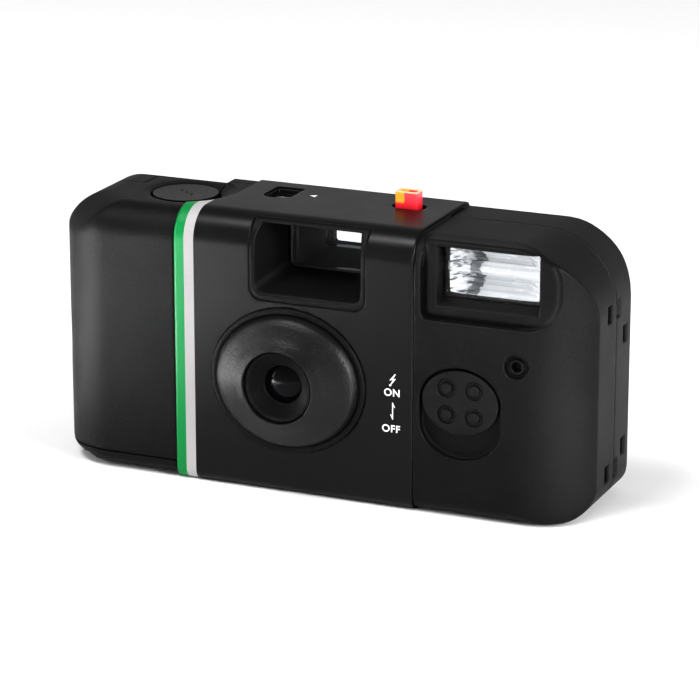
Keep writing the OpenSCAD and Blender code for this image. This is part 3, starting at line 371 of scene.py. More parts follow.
def with_switch_recess(d, x, y, z):
    """Recess that the switch slides in, with a slot for its tongue."""
    d = carve(d, cross(switch_track(x, z, SWITCH_GAP), y - FRONT - RECESS_D), STEP_ROUND)
    low = (SWITCH[0] - SLOT_A, -FAR, SWITCH[1] - SWITCH_TRAVEL - TONGUE - SLOT_GAP)
    return carve(d, box_field(x, y, z, low, (SWITCH[0] + SLOT_A, SLOT_BACK, SWITCH[1] + TONGUE + SLOT_GAP)))


def with_access_hole(d, x, y, z):
    """Blind round hole inside a short tube, which stands in a shallow moat."""
    away, deep = np.hypot(x - ACCESS[0], z - ACCESS[1]), y - FRONT
    d = join(d, cross(away - TUBE_FLOOR_R, between(deep, TUBE_FLOOR_FROM, ACCESS_D + TUBE_FLOOR_T)))
    tube = cross(between(away, ACCESS_R, TUBE_R), TUBE_SINK - deep)
    d = carve(d, cross(away - TUBE_MOAT_R, deep - WALL + TUBE_SINK, -tube), STEP_ROUND)
    return carve(d, cross(away - ACCESS_R, deep - ACCESS_D), HOLE_ROUND)


def with_button_dish(d, x, y, z):
    """Hole for the button, the dish round it and the channel of the button's arm."""
    bx, by = x - BUTTON[0], y - BUTTON[1]
    hole = np.hypot(bx, by) - BUTTON_R - BUTTON_GAP
    d = carve(d, cross(hole, BUTTON_FLOOR - z), STEP_ROUND)
    rise = np.hypot(bx - DISH_SHIFT[0], by - DISH_SHIFT[1]) - DISH_R
    dish = (DISH_Z + DISH_SLOPE * np.maximum(rise, 0) - z) * DISH_LEAN
    d = carve(d, cross(dish, rise - DISH_W), DISH_ROUND)
    along, across = (bx - by) * DIAGONAL, (bx + by) * DIAGONAL
    return cross(d, -cross(between(along, 0, ARM_L), np.abs(across) - ARM_A, between(z, ARM_Z, DISH_Z)))


FRONT_FORMS = (
    with_flash_face, with_frame_and_band, with_front_openings, with_switch_recess, with_access_hole,
    with_button_dish,
)


def front_cover_field(x, y, z):
    d = smooth_max(case_shell(x, y, z), front_zone(x, y, z, -SEAM_GAP), EDGE_ROUND)
    for form in FRONT_FORMS:
        d = form(d, x, y, z)
    d = carve(d, counter_outline(x, y, z, 0.0), HOLE_ROUND)
    d = carve(d, guide_slot(x, y, z), HOLE_ROUND)
    d = carve(d, latch_field(x, y, z))
    return cross(d, -door_zone(x, y, z))


def rear_cover_field(x, y, z):
    d = smooth_max(case_shell(x, y, z), -front_zone(x, y, z, SEAM_GAP), EDGE_ROUND)
    inner = BACK - WALL
    slot_low, slot_high = WHEEL_Z[0] - WHEEL_GAP, WHEEL_Z[1] + WHEEL_GAP
    # lip over the thumb wheel, and the rails that press on the film
    lip_low = (CART[0] - LIP_A, inner - LIP_D, slot_high - SINK)
    lip_high = (CART[0] + LIP_A, inner + SINK, slot_high + LIP_H)
    d = join(d, box_field(x, y, z, lip_low, lip_high))
    for rise in RAIL_RISES:
        rail_low = (LENS[0] - RAIL_A, RAIL_Y, LENS[1] + rise - RAIL_H)
        rail_high = (LENS[0] + RAIL_A, inner + SINK, LENS[1] + rise + RAIL_H)
        d = join(d, box_field(x, y, z, rail_low, rail_high))
    # thumb wheel's notch and slot, eyepiece, latches and pry slots
    notch = np.hypot(x - CART[0], y - BACK - NOTCH_OUT) - NOTCH_R
    d = carve(d, cross(notch, between(z, slot_low, slot_high + NOTCH_RISE)), DISH_ROUND)
    wheel = np.hypot(x - CART[0], y - CART[1]) - WHEEL_R - WHEEL_SIDE_GAP
    d = cross(d, -cross(wheel, between(z, slot_low, slot_high)))
    d = carve(d, eyepiece(x, y, z, inner - EYE_D), EYE_ROUND)
    d = carve(d, latch_field(x, y, z))
    for pry_z in PRY_Z:
        pry_low = (RIGHT - PRY_D, SEAM, pry_z - PRY_H)
        d = carve(d, box_field(x, y, z, pry_low, (FAR, SEAM + PRY_W, pry_z + PRY_H)))
    d = cross(d, -door_zone(x, y, z))
    groove = np.hypot(y - HINGE_Y, z - HINGE_Z) - HINGE_R - HINGE_GAP
    return cross(d, -cross(groove, x - SLEEVE[0]))


def door_field(x, y, z):
    form = case_form(x, y, z, 0.0)
    edge = SLEEVE[0] - DOOR_GAP
    flange = box_field(x, y, z, (-FAR, -FAR, DOOR_Z - DOOR_FLANGE), (edge, HINGE_Y, DOOR_Z))
    tray = round_rect(x, y, (LEFT + DOOR_INSET, FRONT), (edge, HINGE_Y), DOOR_RADII)[0]
    tray = cross(tray, between(z, DOOR_LIFT, DOOR_Z - DOOR_SINK))
    barrel = np.hypot(y - HINGE_Y, z - HINGE_Z) - HINGE_R
    barrel = cross(barrel, between(x, LEFT + DOOR_INSET + HINGE_END, edge))
    d = join(cross(form, join(flange, tray)), barrel)
    hole = cross(np.hypot(x - CART[0], y - CART[1]) - CART_HOLE_R, CART_HOLE_Z - z)
    return cross(d, -hole)


# meshes from distance fields
CORNERS = np.array([(i, j, k) for i in (0, 1) for j in (0, 1) for k in (0, 1)])
BLOCK = 4
EDGES = [(a, b) for a in range(8) for b in range(a + 1, 8) if np.abs(CORNERS[a] - CORNERS[b]).sum() == 1]


def net_points(field, low, high, step):
    """Points and quads of the surface where field is zero, one point for each grid cell that it crosses."""
    blocks = [int((hi - lo) / step / BLOCK) + 2 for lo, hi in zip(low, high)]
    axes = [lo + step * (np.arange(n * BLOCK) - BLOCK / 2) for lo, n in zip(low, blocks)]
    middles = [a[::BLOCK] + step * (BLOCK - 1) / 2 for a in axes]
    coarse = field(*np.meshgrid(*middles, indexing="ij"))
    values = coarse.repeat(BLOCK, 0).repeat(BLOCK, 1).repeat(BLOCK, 2)
    i, j, k = np.nonzero(np.abs(values) < step * (BLOCK + 2))
    values[i, j, k] = field(axes[0][i], axes[1][j], axes[2][k])
    inside = values < 0
    cells = tuple(n - 1 for n in values.shape)
    count = np.zeros(cells, np.int8)
    for i, j, k in CORNERS:
        count += inside[i:i + cells[0], j:j + cells[1], k:k + cells[2]]
    where = np.argwhere((count > 0) & (count < 8))
    number = np.full(cells, -1, np.int64)
    number[tuple(where.T)] = np.arange(len(where))
    at = np.stack([values[tuple((where + c).T)] for c in CORNERS], axis=1)
    total = np.zeros((len(where), 3))
    hits = np.zeros(len(where))
    for a, b in EDGES:
        va, vb = at[:, a], at[:, b]
        crossed = (va < 0) != (vb < 0)
        share = np.where(crossed, va / np.where(crossed, va - vb, 1), 0)
        spot = CORNERS[a] + share[:, None] * (CORNERS[b] - CORNERS[a])
        total += spot * crossed[:, None]
        hits += crossed
    origin = np.array([a[0] for a in axes])
    points = origin + step * (where + total / hits[:, None])
    quads = []
    for axis in range(3):
        first = np.moveaxis(inside, axis, 0)
        ids = np.moveaxis(number, axis, 0)
        turned = axis == 1
        lower, upper = first[:-1, 1:-1, 1:-1], first[1:, 1:-1, 1:-1]
        for sign, mask in ((1, lower & ~upper), (-1, upper & ~lower)):
            s = np.argwhere(mask)
            i, j, k = s[:, 0], s[:, 1] + 1, s[:, 2] + 1
            ring = [ids[i, j - 1, k - 1], ids[i, j, k - 1], ids[i, j, k], ids[i, j - 1, k]]
            if (sign < 0) != turned:
                ring.reverse()
            quads.append(np.stack(ring, axis=1))
    return points, np.concatenate(quads)


def settle(field, points, step):
    """Moves points along the field's slope until they lie on the surface."""
    h = 0.02
    x, y, z = points.T
    slope = np.stack([
        field(x + h, y, z) - field(x - h, y, z),
        field(x, y + h, z) - field(x, y - h, z),
        field(x, y, z + h) - field(x, y, z - h),
    ], axis=1) / (2 * h)
    slope /= np.maximum((slope ** 2).sum(axis=1), 0.25)[:, None]
    for _ in range(3):
        move = -field(*points.T)[:, None] * slope
        points = points + np.clip(move, -0.3 * step, 0.3 * step)
    return points


def placed(name, data):
    obj = bpy.data.objects.new(name, data)
    bpy.context.scene.collection.objects.link(obj)
    return obj


def mesh_object(name, points, faces, smooth=True):
    mesh = bpy.data.meshes.new(name)
    mesh.from_pydata((np.asarray(points) * MM).tolist(), [], [list(map(int, f)) for f in faces])
    mesh.validate()
    if smooth:
        mesh.shade_smooth()
    else:
        mesh.shade_flat()
    return placed(name, mesh)


def field_object(name, field, low, high, step):
    points, quads = net_points(field, low, high, step)
    return mesh_object(name, settle(field, points, step), quads)


def dress(obj, material, body, *replaced, slot=None):
    obj.data.materials.clear()
    obj.data.materials.append(material)
    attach(obj, body)
    if replaced:
        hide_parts(*replaced)
    return obj


# materials
GRAIN_DEPTH, FINE_DEPTH, FOLD_DEPTH = 0.00016, 0.00002, 0.00003
PRINT_EDGE = 0.04


def new_material(name):
    material = bpy.data.materials.new(name)
    material.use_nodes = True
    tree = material.node_tree
    tree.nodes.clear()
    out = tree.nodes.new("ShaderNodeOutputMaterial")
    where = tree.nodes.new("ShaderNodeTexCoord").outputs["Object"]
    return material, tree, out, where


def feed(tree, socket, value):
    """Joins a socket to another one, or sets it to a colour or a number."""
    if isinstance(value, bpy.types.NodeSocket):
        tree.links.new(value, socket)
    elif socket.type == "RGBA":
        socket.default_value = (*value, 1)
    else:
        socket.default_value = value


def add_node(tree, kind, output, **inputs):
    """Adds a node, feeds the inputs that are named and gives one output."""
    node = tree.nodes.new("ShaderNode" + kind)
    for key, value in inputs.items():
        feed(tree, node.inputs[key.replace("_", " ")], value)
    return node.outputs[output]


def calc(tree, operation, *values):
    node = tree.nodes.new("ShaderNodeMath")
    node.operation = operation
    for socket, value in zip(node.inputs, values):
        feed(tree, socket, value)
    return node.outputs[0]


def mix_colour(tree, share, first, second):
    node = tree.nodes.new("ShaderNodeMix")
    node.data_type = "RGBA"
    for socket, value in ((node.inputs["Factor"], share), (node.inputs[6], first), (node.inputs[7], second)):
        feed(tree, socket, value)
    return node.outputs[2]


def noise(tree, where, scale, detail=2.0, rough=0.5):
    return add_node(tree, "TexNoise", "Fac", Vector=where, Scale=scale, Detail=detail, Roughness=rough)


def ramp(tree, value, low, high, at_low=0.0, at_high=1.0):
    ends = {"From_Min": low, "From_Max": high, "To_Min": at_low, "To_Max": at_high}
    return add_node(tree, "MapRange", "Result", Value=value, **ends)


def spread(tree, cloud, low, high):
    """The middle range of a noise, spread from low to high."""
    return ramp(tree, cloud, 0.3, 0.7, low, high)


def bump(tree, height, strength, distance):
    return add_node(tree, "Bump", "Normal", Height=height, Strength=strength, Distance=distance)


def stretched(tree, where, scale):
    return add_node(tree, "Mapping", "Vector", Vector=where, Scale=scale)


def axis_value(tree, where, axis):
    return add_node(tree, "SeparateXYZ", axis, Vector=where)


def surface(tree, out, colour, rough, **inputs):
    shader = add_node(tree, "BsdfPrincipled", "BSDF", Base_Color=colour, Roughness=rough, **inputs)
    tree.links.new(shader, out.inputs["Surface"])


def plastic(name, dark, light, rough, grain=2900.0, strength=0.5, ior=1.5):
    """Moulded plastic: a fine spark-eroded grain, and slow changes of tone and gloss."""
    material, tree, out, where = new_material(name)
    cloud = noise(tree, where, 90.0, 3.0)
    fine = noise(tree, where, grain, 2.0, 0.6)
    tone = ramp(tree, calc(tree, "MULTIPLY", cloud, fine), 0.1, 0.4)
    colour, gloss = mix_colour(tree, tone, dark, light), spread(tree, cloud, rough - 0.03, rough + 0.03)
    surface(tree, out, colour, gloss, IOR=ior, Normal=bump(tree, fine, strength, GRAIN_DEPTH))
    return material


def metal(name, light, dark, rough, scale=900.0, stretch=(1, 1, 1)):
    """Bare metal with streaks of darker and duller tone."""
    material, tree, out, where = new_material(name)
    streak = noise(tree, stretched(tree, where, stretch), scale, 3.0)
    colour = mix_colour(tree, ramp(tree, streak, 0.35, 0.65), dark, light)
    gloss = spread(tree, streak, rough - 0.05, rough + 0.08)
    surface(tree, out, colour, gloss, Metallic=1.0, Normal=bump(tree, streak, 0.1, FINE_DEPTH))
    return material


def printed_film():
    """Satin printed film, black with a green and a pale stripe along its grip edge."""
    material, tree, out, where = new_material("printed film")
    x = axis_value(tree, where, "X")
    cloud, fine = noise(tree, where, 60.0, 3.0), noise(tree, where, 2600.0)
    black = mix_colour(tree, cloud, (0.004, 0.004, 0.0043), (0.006, 0.006, 0.0063))
    pale = mix_colour(tree, fine, (0.37, 0.355, 0.36), (0.43, 0.41, 0.415))
    green = mix_colour(tree, fine, (0.005, 0.18, 0.05), (0.008, 0.22, 0.065))
    edges = [((end - PRINT_EDGE) * MM, (end + PRINT_EDGE) * MM) for end in STRIPE_ENDS]
    past_green, past_pale = [ramp(tree, x, *edge) for edge in edges]
    striped = mix_colour(tree, past_pale, mix_colour(tree, past_green, green, pale), black)
    gloss = spread(tree, cloud, 0.3, 0.37)
    surface(tree, out, striped, gloss, IOR=1.33, Normal=bump(tree, fine, 0.06, FINE_DEPTH))
    return material


def clear_plastic(name, tint, ior):
    """Thin clear moulding: mostly see-through, with a gloss that grows towards grazing angles."""
    material, tree, out, where = new_material(name)
    cloud = noise(tree, where, 300.0)
    light = tuple(min(1.0, 1.03 * c) for c in tint)
    through = add_node(tree, "BsdfTransparent", "BSDF", Color=mix_colour(tree, cloud, tint, light))
    gloss = add_node(tree, "BsdfGlossy", "BSDF", Roughness=0.03, Normal=bump(tree, cloud, 0.05, FINE_DEPTH))
    # the gloss follows the angle alone, so that both faces of a pane stay clear
    grazing = calc(tree, "POWER", add_node(tree, "LayerWeight", "Facing", Blend=0.5), 5.0)
    straight_on = ((ior - 1) / (ior + 1)) ** 2
    mix = tree.nodes.new("ShaderNodeMixShader")
    for socket, value in zip(mix.inputs, (ramp(tree, grazing, 0.0, 1.0, straight_on, 1.0), through, gloss)):
        feed(tree, socket, value)
    tree.links.new(mix.outputs["Shader"], out.inputs["Surface"])
    return material


def light_guide_plastic():
    """Clear red moulding with painted light: darker red at its foot and paler towards its top, a painted
    orange reflection on the left of its upper part, and a painted highlight round its top rim.
    """
    material, tree, out, where = new_material("red light guide")
    mid_x = (GUIDE_X[0] + GUIDE_X[1]) / 2
    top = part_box("light_guide")[1][2] / MM
    x, z = axis_value(tree, where, "X"), axis_value(tree, where, "Z")
    cloud = noise(tree, where, 900.0, 3.0)
    wavy = calc(tree, "MULTIPLY_ADD", cloud, 0.8 * MM, x)
    # painted light: the red runs from darker at the foot to paler towards the top
    height = ramp(tree, z, (top - 3.4) * MM, (top - 0.8) * MM)
    red = mix_colour(tree, height, (0.60, 0.015, 0.03), (0.95, 0.10, 0.13))
    # painted reflection: an orange area over the left half, with a wavy edge
    orange_reflection = mix_colour(tree, cloud, (1.0, 0.30, 0.03), (1.0, 0.55, 0.10))
    reflection_patch = mix_colour(tree, ramp(tree, wavy, (mid_x - 0.1) * MM, (mid_x + 0.1) * MM), orange_reflection, red)
    # the painted reflection shows only on the upper part; below it the front stays red
    sides = mix_colour(tree, ramp(tree, height, 0.38, 0.55), red, reflection_patch)
    # painted highlight round the top rim
    rim = mix_colour(tree, ramp(tree, z, (top - 0.3) * MM, (top - 0.1) * MM), sides, (1.0, 0.45, 0.25))
    glow = {"Subsurface_Weight": 0.25, "Subsurface_Scale": MM}
    gloss, normal = spread(tree, cloud, 0.15, 0.25), bump(tree, cloud, 0.1, FOLD_DEPTH)
    surface(tree, out, rim, gloss, IOR=1.45, Normal=normal, **glow)
    return material


def reflector_sheet():
    """Bright sheet with painted light: crinkles on its left end wall coloured as light and dark glints, a
    ragged band of painted shade, then fine level ribs coloured in bands of painted sheen.
    """
    material, tree, out, where = new_material("reflector sheet")
    crinkle = noise(tree, stretched(tree, where, (0.22, 0.22, 1)), 1500.0, 3.0, 0.6)
    shift = noise(tree, where, 1100.0, 3.0, 0.7)
    ragged = calc(tree, "MULTIPLY_ADD", shift, 2.2 * MM, axis_value(tree, where, "X"))
    rib_sheen = add_node(tree, "TexWave", "Fac", Vector=where, Scale=420.0, Distortion=0.6)
    rib_sheen.node.bands_direction = "Z"
    # painted glints: the crinkles are coloured dark and bright by the crinkle noise
    folds = mix_colour(tree, ramp(tree, crinkle, 0.4, 0.52), (0.10, 0.11, 0.12), (0.97, 0.98, 1.0))
    # painted shade: a dark band, also mottled by the crinkle noise
    dark = mix_colour(tree, ramp(tree, crinkle, 0.35, 0.65), (0.05, 0.055, 0.06), (0.30, 0.31, 0.33))
    # painted sheen: lighter and darker level bands along the ribs
    ribs = mix_colour(tree, rib_sheen, (0.78, 0.80, 0.84), (1.0, 1.0, 1.0))
    past_folds, past_shade_band = [ramp(tree, ragged, at * MM, (at + 0.2) * MM) for at in REFLECTOR_SHADE_BAND]
    sheet = mix_colour(tree, past_shade_band, mix_colour(tree, past_folds, folds, dark), ribs)
    gloss = spread(tree, crinkle, 0.18, 0.3)
    surface(tree, out, sheet, gloss, Metallic=0.25, Normal=bump(tree, crinkle, 0.2, FOLD_DEPTH))
    return material


BLACKS = ((0.004, 0.004, 0.0042), (0.009, 0.009, 0.0093))
# inner black lifted to grey: painted reflection, standing in for the reflections seen in the finder's lenses
INNER_REFLECTION_GREYS = ((0.07, 0.07, 0.072), (0.1, 0.1, 0.102))
LENS_BLACKS = ((0.002, 0.002, 0.003), (0.004, 0.004, 0.006))
COVER = plastic("grained cover", *BLACKS, 0.46, ior=1.27)
REAR = plastic("grained rear cover", *BLACKS, 0.5, strength=0.8, ior=1.36)
BEZEL = plastic("grained bezel", *BLACKS, 0.38, strength=0.55, ior=1.42)
INNER = plastic("dull inner moulding", *INNER_REFLECTION_GREYS, 0.8, grain=1500.0, strength=0.015, ior=1.15)
CUP = plastic("smooth black cup", *BLACKS, 0.45, grain=1800.0, strength=0.06, ior=1.25)
SLIDER = plastic("fine grained switch", *BLACKS, 0.45, strength=0.2, ior=1.33)
LENS_GLASS = plastic("coated lens", *LENS_BLACKS, 0.13, grain=900.0, strength=0.01, ior=1.28)
INK = plastic("white ink", (0.76, 0.76, 0.76), (0.86, 0.86, 0.86), 0.5, grain=2500.0, strength=0.05)
CLEAR = clear_plastic("clear moulding", (0.975, 0.985, 0.99), 1.45)
FINDER_CLEAR = clear_plastic("coated finder moulding", (0.95, 0.96, 0.965), 1.12)
FILM_PRINT = printed_film()
GUIDE = light_guide_plastic()
REFLECTOR = reflector_sheet()

WOUND = (0.15, 0.15, 3)
SLOT_MATERIAL = {
    "cover_black": COVER, "sleeve_print": FILM_PRINT, "inner_black": INNER, "bezel_black": BEZEL,
    "lens_clear": CLEAR, "reflector_metal": REFLECTOR, "guide_red": GUIDE,
    "white_plastic": plastic("pale moulding", (0.62, 0.60, 0.56), (0.72, 0.70, 0.66), 0.45, 2500.0, 0.1),
    "film_brown": plastic("glossy film", (0.05, 0.028, 0.02), (0.10, 0.06, 0.045), 0.22, 1500.0, 0.05),
    "board_brown": plastic("board laminate", (0.13, 0.09, 0.03), (0.24, 0.17, 0.06), 0.55, 2000.0, 0.2),
    "capacitor_black": plastic("shrink wrap", (0.012, 0.014, 0.02), (0.03, 0.034, 0.045), 0.3, 1200.0, 0.1),
    "battery_steel": plastic("cell wrap", (0.03, 0.035, 0.04), (0.06, 0.066, 0.075), 0.3, 1200.0, 0.05),
    "spring_steel": metal("spring steel", (0.62, 0.63, 0.65), (0.42, 0.43, 0.45), 0.28),
    "dark_steel": metal("dark steel", (0.08, 0.08, 0.085), (0.045, 0.045, 0.05), 0.42),
    "contact_brass": metal("contact brass", (0.62, 0.46, 0.20), (0.48, 0.34, 0.14), 0.32),
    "copper_brown": metal("lacquered copper", (0.42, 0.2, 0.1), (0.22, 0.09, 0.04), 0.36, 2200.0, WOUND),
}
for row in frame["record"]["subparts"]:
    piece = nodes[row["node"]]
    piece.data.materials.clear()
    piece.data.materials.append(SLOT_MATERIAL[row["material_slot"]])
nodes["flash_tube"].data.materials[0] = REFLECTOR

# covers and door
SHELL_LOW = 0.3
COVER_STEP, REAR_STEP, DOOR_STEP = 0.32, 0.4, 0.3
cover_low, cover_high = (LEFT, FRONT - BAND_RISE, SHELL_LOW), (RIGHT, TOP_SEAM_Y, BODY_H)
cover = field_object("front_cover_shell", front_cover_field, cover_low, cover_high, COVER_STEP)
dress(cover, COVER, "camera", "front_cover", slot="cover_black")
rear_low, rear_high = (LEFT, SEAM, SHELL_LOW), (RIGHT, BACK, BODY_H)
rear = field_object("rear_cover_shell", rear_cover_field, rear_low, rear_high, REAR_STEP)
dress(rear, REAR, "camera", "rear_cover", slot="cover_black")
door_low, door_high = (LEFT, FRONT, DOOR_LIFT), (SLEEVE[0], HINGE_Y + 1, DOOR_Z)
door = field_object("cartridge_door_tray", door_field, door_low, door_high, DOOR_STEP)
dress(door, COVER, "door", "cartridge_door", slot="cover_black")


# printed sleeve, as a sheet with its holes cut along smooth lines
def rounded_outline(low, high, radii, parts):
    """Points round the four corners of a rectangle, anticlockwise."""
    centres = [
        (low[0] + radii[0], low[1] + radii[0]), (high[0] - radii[1], low[1] + radii[1]),
        (high[0] - radii[2], high[1] - radii[2]), (low[0] + radii[3], high[1] - radii[3]),
    ]
    outline = []
    for (u, v), r, start in zip(centres, radii, (180, 270, 0, 90)):
        for turn in np.linspace(start, start + 90, parts):
            angle = math.radians(turn)
            outline.append((u + r * math.cos(angle), v + r * math.sin(angle)))
    return outline


def profile_loop(low, high, radii, spacing):
    """Evenly spaced points round a rectangle with rounded corners."""
    outline = rounded_outline(low, high, radii, 40)
    outline = np.array(outline + outline[:1])
    length = np.concatenate([[0], np.cumsum(np.hypot(*np.diff(outline, axis=0).T))])
    even = np.linspace(0, length[-1], int(length[-1] / spacing), endpoint=False)
    return np.stack([np.interp(even, length, outline[:, axis]) for axis in (0, 1)], axis=1)


def sleeve_holes(x, y, z):
    """Negative where the sleeve is cut away."""
    frame_cut = cross(finder_frame(x, z, FRAME_W), z - FINDER_TOP - FRAME_TOP - FRAME_FIT, y - FINDER_BACK)
    band = cross(lens_oval(x, z, SLEEVE_FIT / 2), y)
    notch = np.hypot(x - BUTTON[0], np.minimum(y - BUTTON[1], 0)) - SLEEVE_NOTCH_R
    notch = cross(notch, BODY_H - SLEEVE_NOTCH_D - z)
    counter, guide = counter_outline(x, y, z, PANE_MARGIN), guide_slot(x, y, z) - GUIDE_MARGIN
    return join(frame_cut, band, notch, eyepiece(x, y, z, 0), counter, guide)


def clipped_sheet(points, keep):
    """Quads of a grid that is closed along its second axis, cut where keep is negative."""
    rows, columns = keep.shape
    flat_points, flat_keep = list(map(tuple, points.reshape(-1, 3))), keep.ravel()
    cut_at = {}

    def crossing(a, b):
        key = (min(a, b), max(a, b))
        if key not in cut_at:
            share = flat_keep[a] / (flat_keep[a] - flat_keep[b])
            spot = np.array(flat_points[a]) + share * (np.array(flat_points[b]) - np.array(flat_points[a]))
            cut_at[key] = len(flat_points)
            flat_points.append(tuple(spot))
        return cut_at[key]

    faces = []
    for i in range(rows - 1):
        for j in range(columns):
            after = (j + 1) % columns
            ring = (i * columns + j, (i + 1) * columns + j, (i + 1) * columns + after, i * columns + after)
            state = [flat_keep[n] > 0 for n in ring]
            if all(state):
                faces.append(ring)
            elif any(state):
                face = []
                for n in range(4):
                    if state[n]:
                        face.append(ring[n])
                    if state[n] != state[(n + 1) % 4]:
                        face.append(crossing(ring[n], ring[(n + 1) % 4]))
                faces.append(tuple(face))
    return flat_points, faces


def tidy_mesh(obj, doubles=0.002):
    """Drops points that no face uses, joins points that coincide and turns faces outwards."""
    work = bmesh.new()
    work.from_mesh(obj.data)
    bmesh.ops.delete(work, geom=[v for v in work.verts if not v.link_faces], context="VERTS")
    bmesh.ops.remove_doubles(work, verts=work.verts, dist=doubles * MM)
    bmesh.ops.dissolve_degenerate(work, edges=work.edges, dist=doubles * MM)
    bmesh.ops.recalc_face_normals(work, faces=work.faces)
    work.to_mesh(obj.data)
    work.free()


def thicken(obj, thickness, offset):
    thick = obj.modifiers.new("thickness", "SOLIDIFY")
    thick.thickness = thickness * MM
    thick.offset = offset


def printed_sleeve_wrap():
    spacing, columns, end_gap, slack = 0.4, 100, 0.05, 0.03
    loop = profile_loop((FRONT, 0), (BACK, BODY_H), SIDE_RADII, spacing)
    across = np.linspace(SLEEVE[0] + end_gap, SLEEVE[1] - end_gap, columns)
    x = np.repeat(across[:, None], len(loop), axis=1)
    y = np.repeat(loop[None, :, 0], len(across), axis=0)
    z = np.repeat(loop[None, :, 1], len(across), axis=0)
    points, faces = clipped_sheet(np.stack([x, y, z], axis=2), sleeve_holes(x, y, z))
    wrap = mesh_object("printed_sleeve_wrap", points, faces)
    tidy_mesh(wrap)
    thicken(wrap, SLEEVE_T - slack, -1)
    dress(wrap, FILM_PRINT, "camera", "printed_sleeve", slot="sleeve_print")


printed_sleeve_wrap()


# round pieces, each turned from a profile of (radius, y) about an axis along Y
def smooth_curve(points, parts):
    """Points along a curve through the given ones."""
    p = np.array(points, float)
    ends = np.vstack([2 * p[0] - p[1], p, 2 * p[-1] - p[-2]])
    curve = []
    for a, b, c, d in zip(ends, ends[1:], ends[2:], ends[3:]):
        for t in np.arange(parts) / parts:
            curve.append(0.5 * (2 * b + (c - a) * t + (2 * a - 5 * b + 4 * c - d) * t ** 2
                                + (3 * b - a - 3 * c + d) * t ** 3))
    return np.array(curve + [p[-1]])


def ring_object(name, rings, closed=False, capped=True, smooth=True):
    """Skin over rings of points, which can be joined from the last to the first or capped at both ends."""
    count, sides = len(rings), len(rings[0])
    faces = []
    for i in range(count if closed else count - 1):
        for n in range(sides):
            after, up = (n + 1) % sides, (i + 1) % count
            faces.append((i * sides + n, i * sides + after, up * sides + after, up * sides + n))
    if capped:
        faces.append(tuple(range((count - 1) * sides, count * sides)))
        faces.append(tuple(reversed(range(sides))))
    return mesh_object(name, [point for ring in rings for point in ring], faces, smooth)


def circle(sides):
    return [(math.cos(2 * math.pi * n / sides), math.sin(2 * math.pi * n / sides)) for n in range(sides)]


def turned(name, profile, sharp, squash=lambda r: r, sides=128):
    """Ring, or disc if the profile starts on the axis. Squash gives the upright radius for the one across."""
    rings = []
    for radius, y in profile:
        tall = squash(radius)
        rings.append([(LENS[0] + radius * u, y, LENS[1] + tall * v) for u, v in circle(sides)])
    obj = ring_object(name, rings, closed=profile[0][0] > 0, capped=False)
    tidy_mesh(obj)
    sharpen(obj, sharp)
    return obj


def sharpen(obj, angle):
    obj.data.set_sharp_from_angle(angle=math.radians(angle))


def lens_mound():
    outer, foot, bore = BAND[0] - BAND_W + 0.08, -11.2, RIM_R + 0.02
    rise = smooth_curve([
        (outer, -11.9), (outer - 0.12, -12.5), (outer - 0.7, -13.45), (outer - 1.7, -14.15),
        (outer - 3.0, -14.75), (outer - 4.6, -15.5), (outer - 6.0, -16.3), (RIM_R + 0.55, -16.85),
        (RIM_R + 0.3, RIM), (RIM_R + 0.1, -16.92), (bore, -16.6),
    ], 5)
    flat = (BAND[0] - BAND[1]) / (outer - RIM_R)
    profile = [(outer, foot), *rise, (bore, foot)]
    mound = turned("lens_mound", profile, 50, lambda r: r - flat * max(r - RIM_R, 0))
    dress(mound, BEZEL, "camera", "lens_bezel", slot="bezel_black")


def lens_cup():
    """Cup round the lens, stepped on its inside."""
    foot, steps, pitch = -11.4, 8, 0.26
    profile = [(6.93, foot), (6.93, -16.15), (6.86, -16.32), (6.7, -16.4), (6.45, -16.38), (6.3, -16.25)]
    for n in range(steps):
        r, y = 6.1 - pitch * n, -16.1 + pitch * n
        profile += [(r, y), (r - 0.05, y + 0.12), (r - 0.08, y + 0.14), (r - 0.22, y + 0.18)]
    profile += [(3.98, -14.0), (3.85, -14.02), (3.75, -13.9), (3.72, -13.5), (4.3, -13.0), (4.3, foot)]
    cup = turned("lens_cup", profile, 30)
    dress(cup, CUP, "camera", "lens_retainer", slot="inner_black")


def lens_dome():
    apex, edge, radius, parts = -14.75, -13.6, 3.6, 14
    rows = [(0.0, apex)]
    for n in range(1, parts + 1):
        share = n / parts
        rows.append((radius * share, apex + (edge - apex) * share ** 2))
    rows += [(3.65, -13.4), (4.15, -12.9), (4.15, -11.6), (3.4, -11.3), (0.0, -10.9)]
    dome = turned("lens_dome", rows, 40, sides=96)
    dress(dome, LENS_GLASS, "camera", "taking_lens", slot="lens_clear")


lens_mound()
lens_cup()
lens_dome()


# flash unit
def flash_pane():
    """Clear window with a thicker rim round a thin middle."""
    outer, bevel, step, radius, corner = WINDOW_Y[0], (0.12, 0.15), (0.1, 0.12), 0.6, 24
    rows = [(0.0, WINDOW_Y[1]), (0.0, outer + bevel[1]), (bevel[0], outer)]
    rows += [(REFLECTOR_SIDE - step[0], outer), (REFLECTOR_SIDE, outer + step[1])]
    rings = []
    for shrink, y in rows:
        low = (WINDOW_X[0] + shrink, WINDOW_Z[0] + shrink * REFLECTOR_EDGE)
        high = (WINDOW_X[1] - shrink, WINDOW_Z[1] - shrink * REFLECTOR_EDGE)
        rings.append([(u, y, v) for u, v in rounded_outline(low, high, [radius] * 4, corner)])
    pane = ring_object("flash_pane", rings)
    tidy_mesh(pane)
    sharpen(pane, 30)
    dress(pane, CLEAR, "camera", "flash_window", slot="lens_clear")


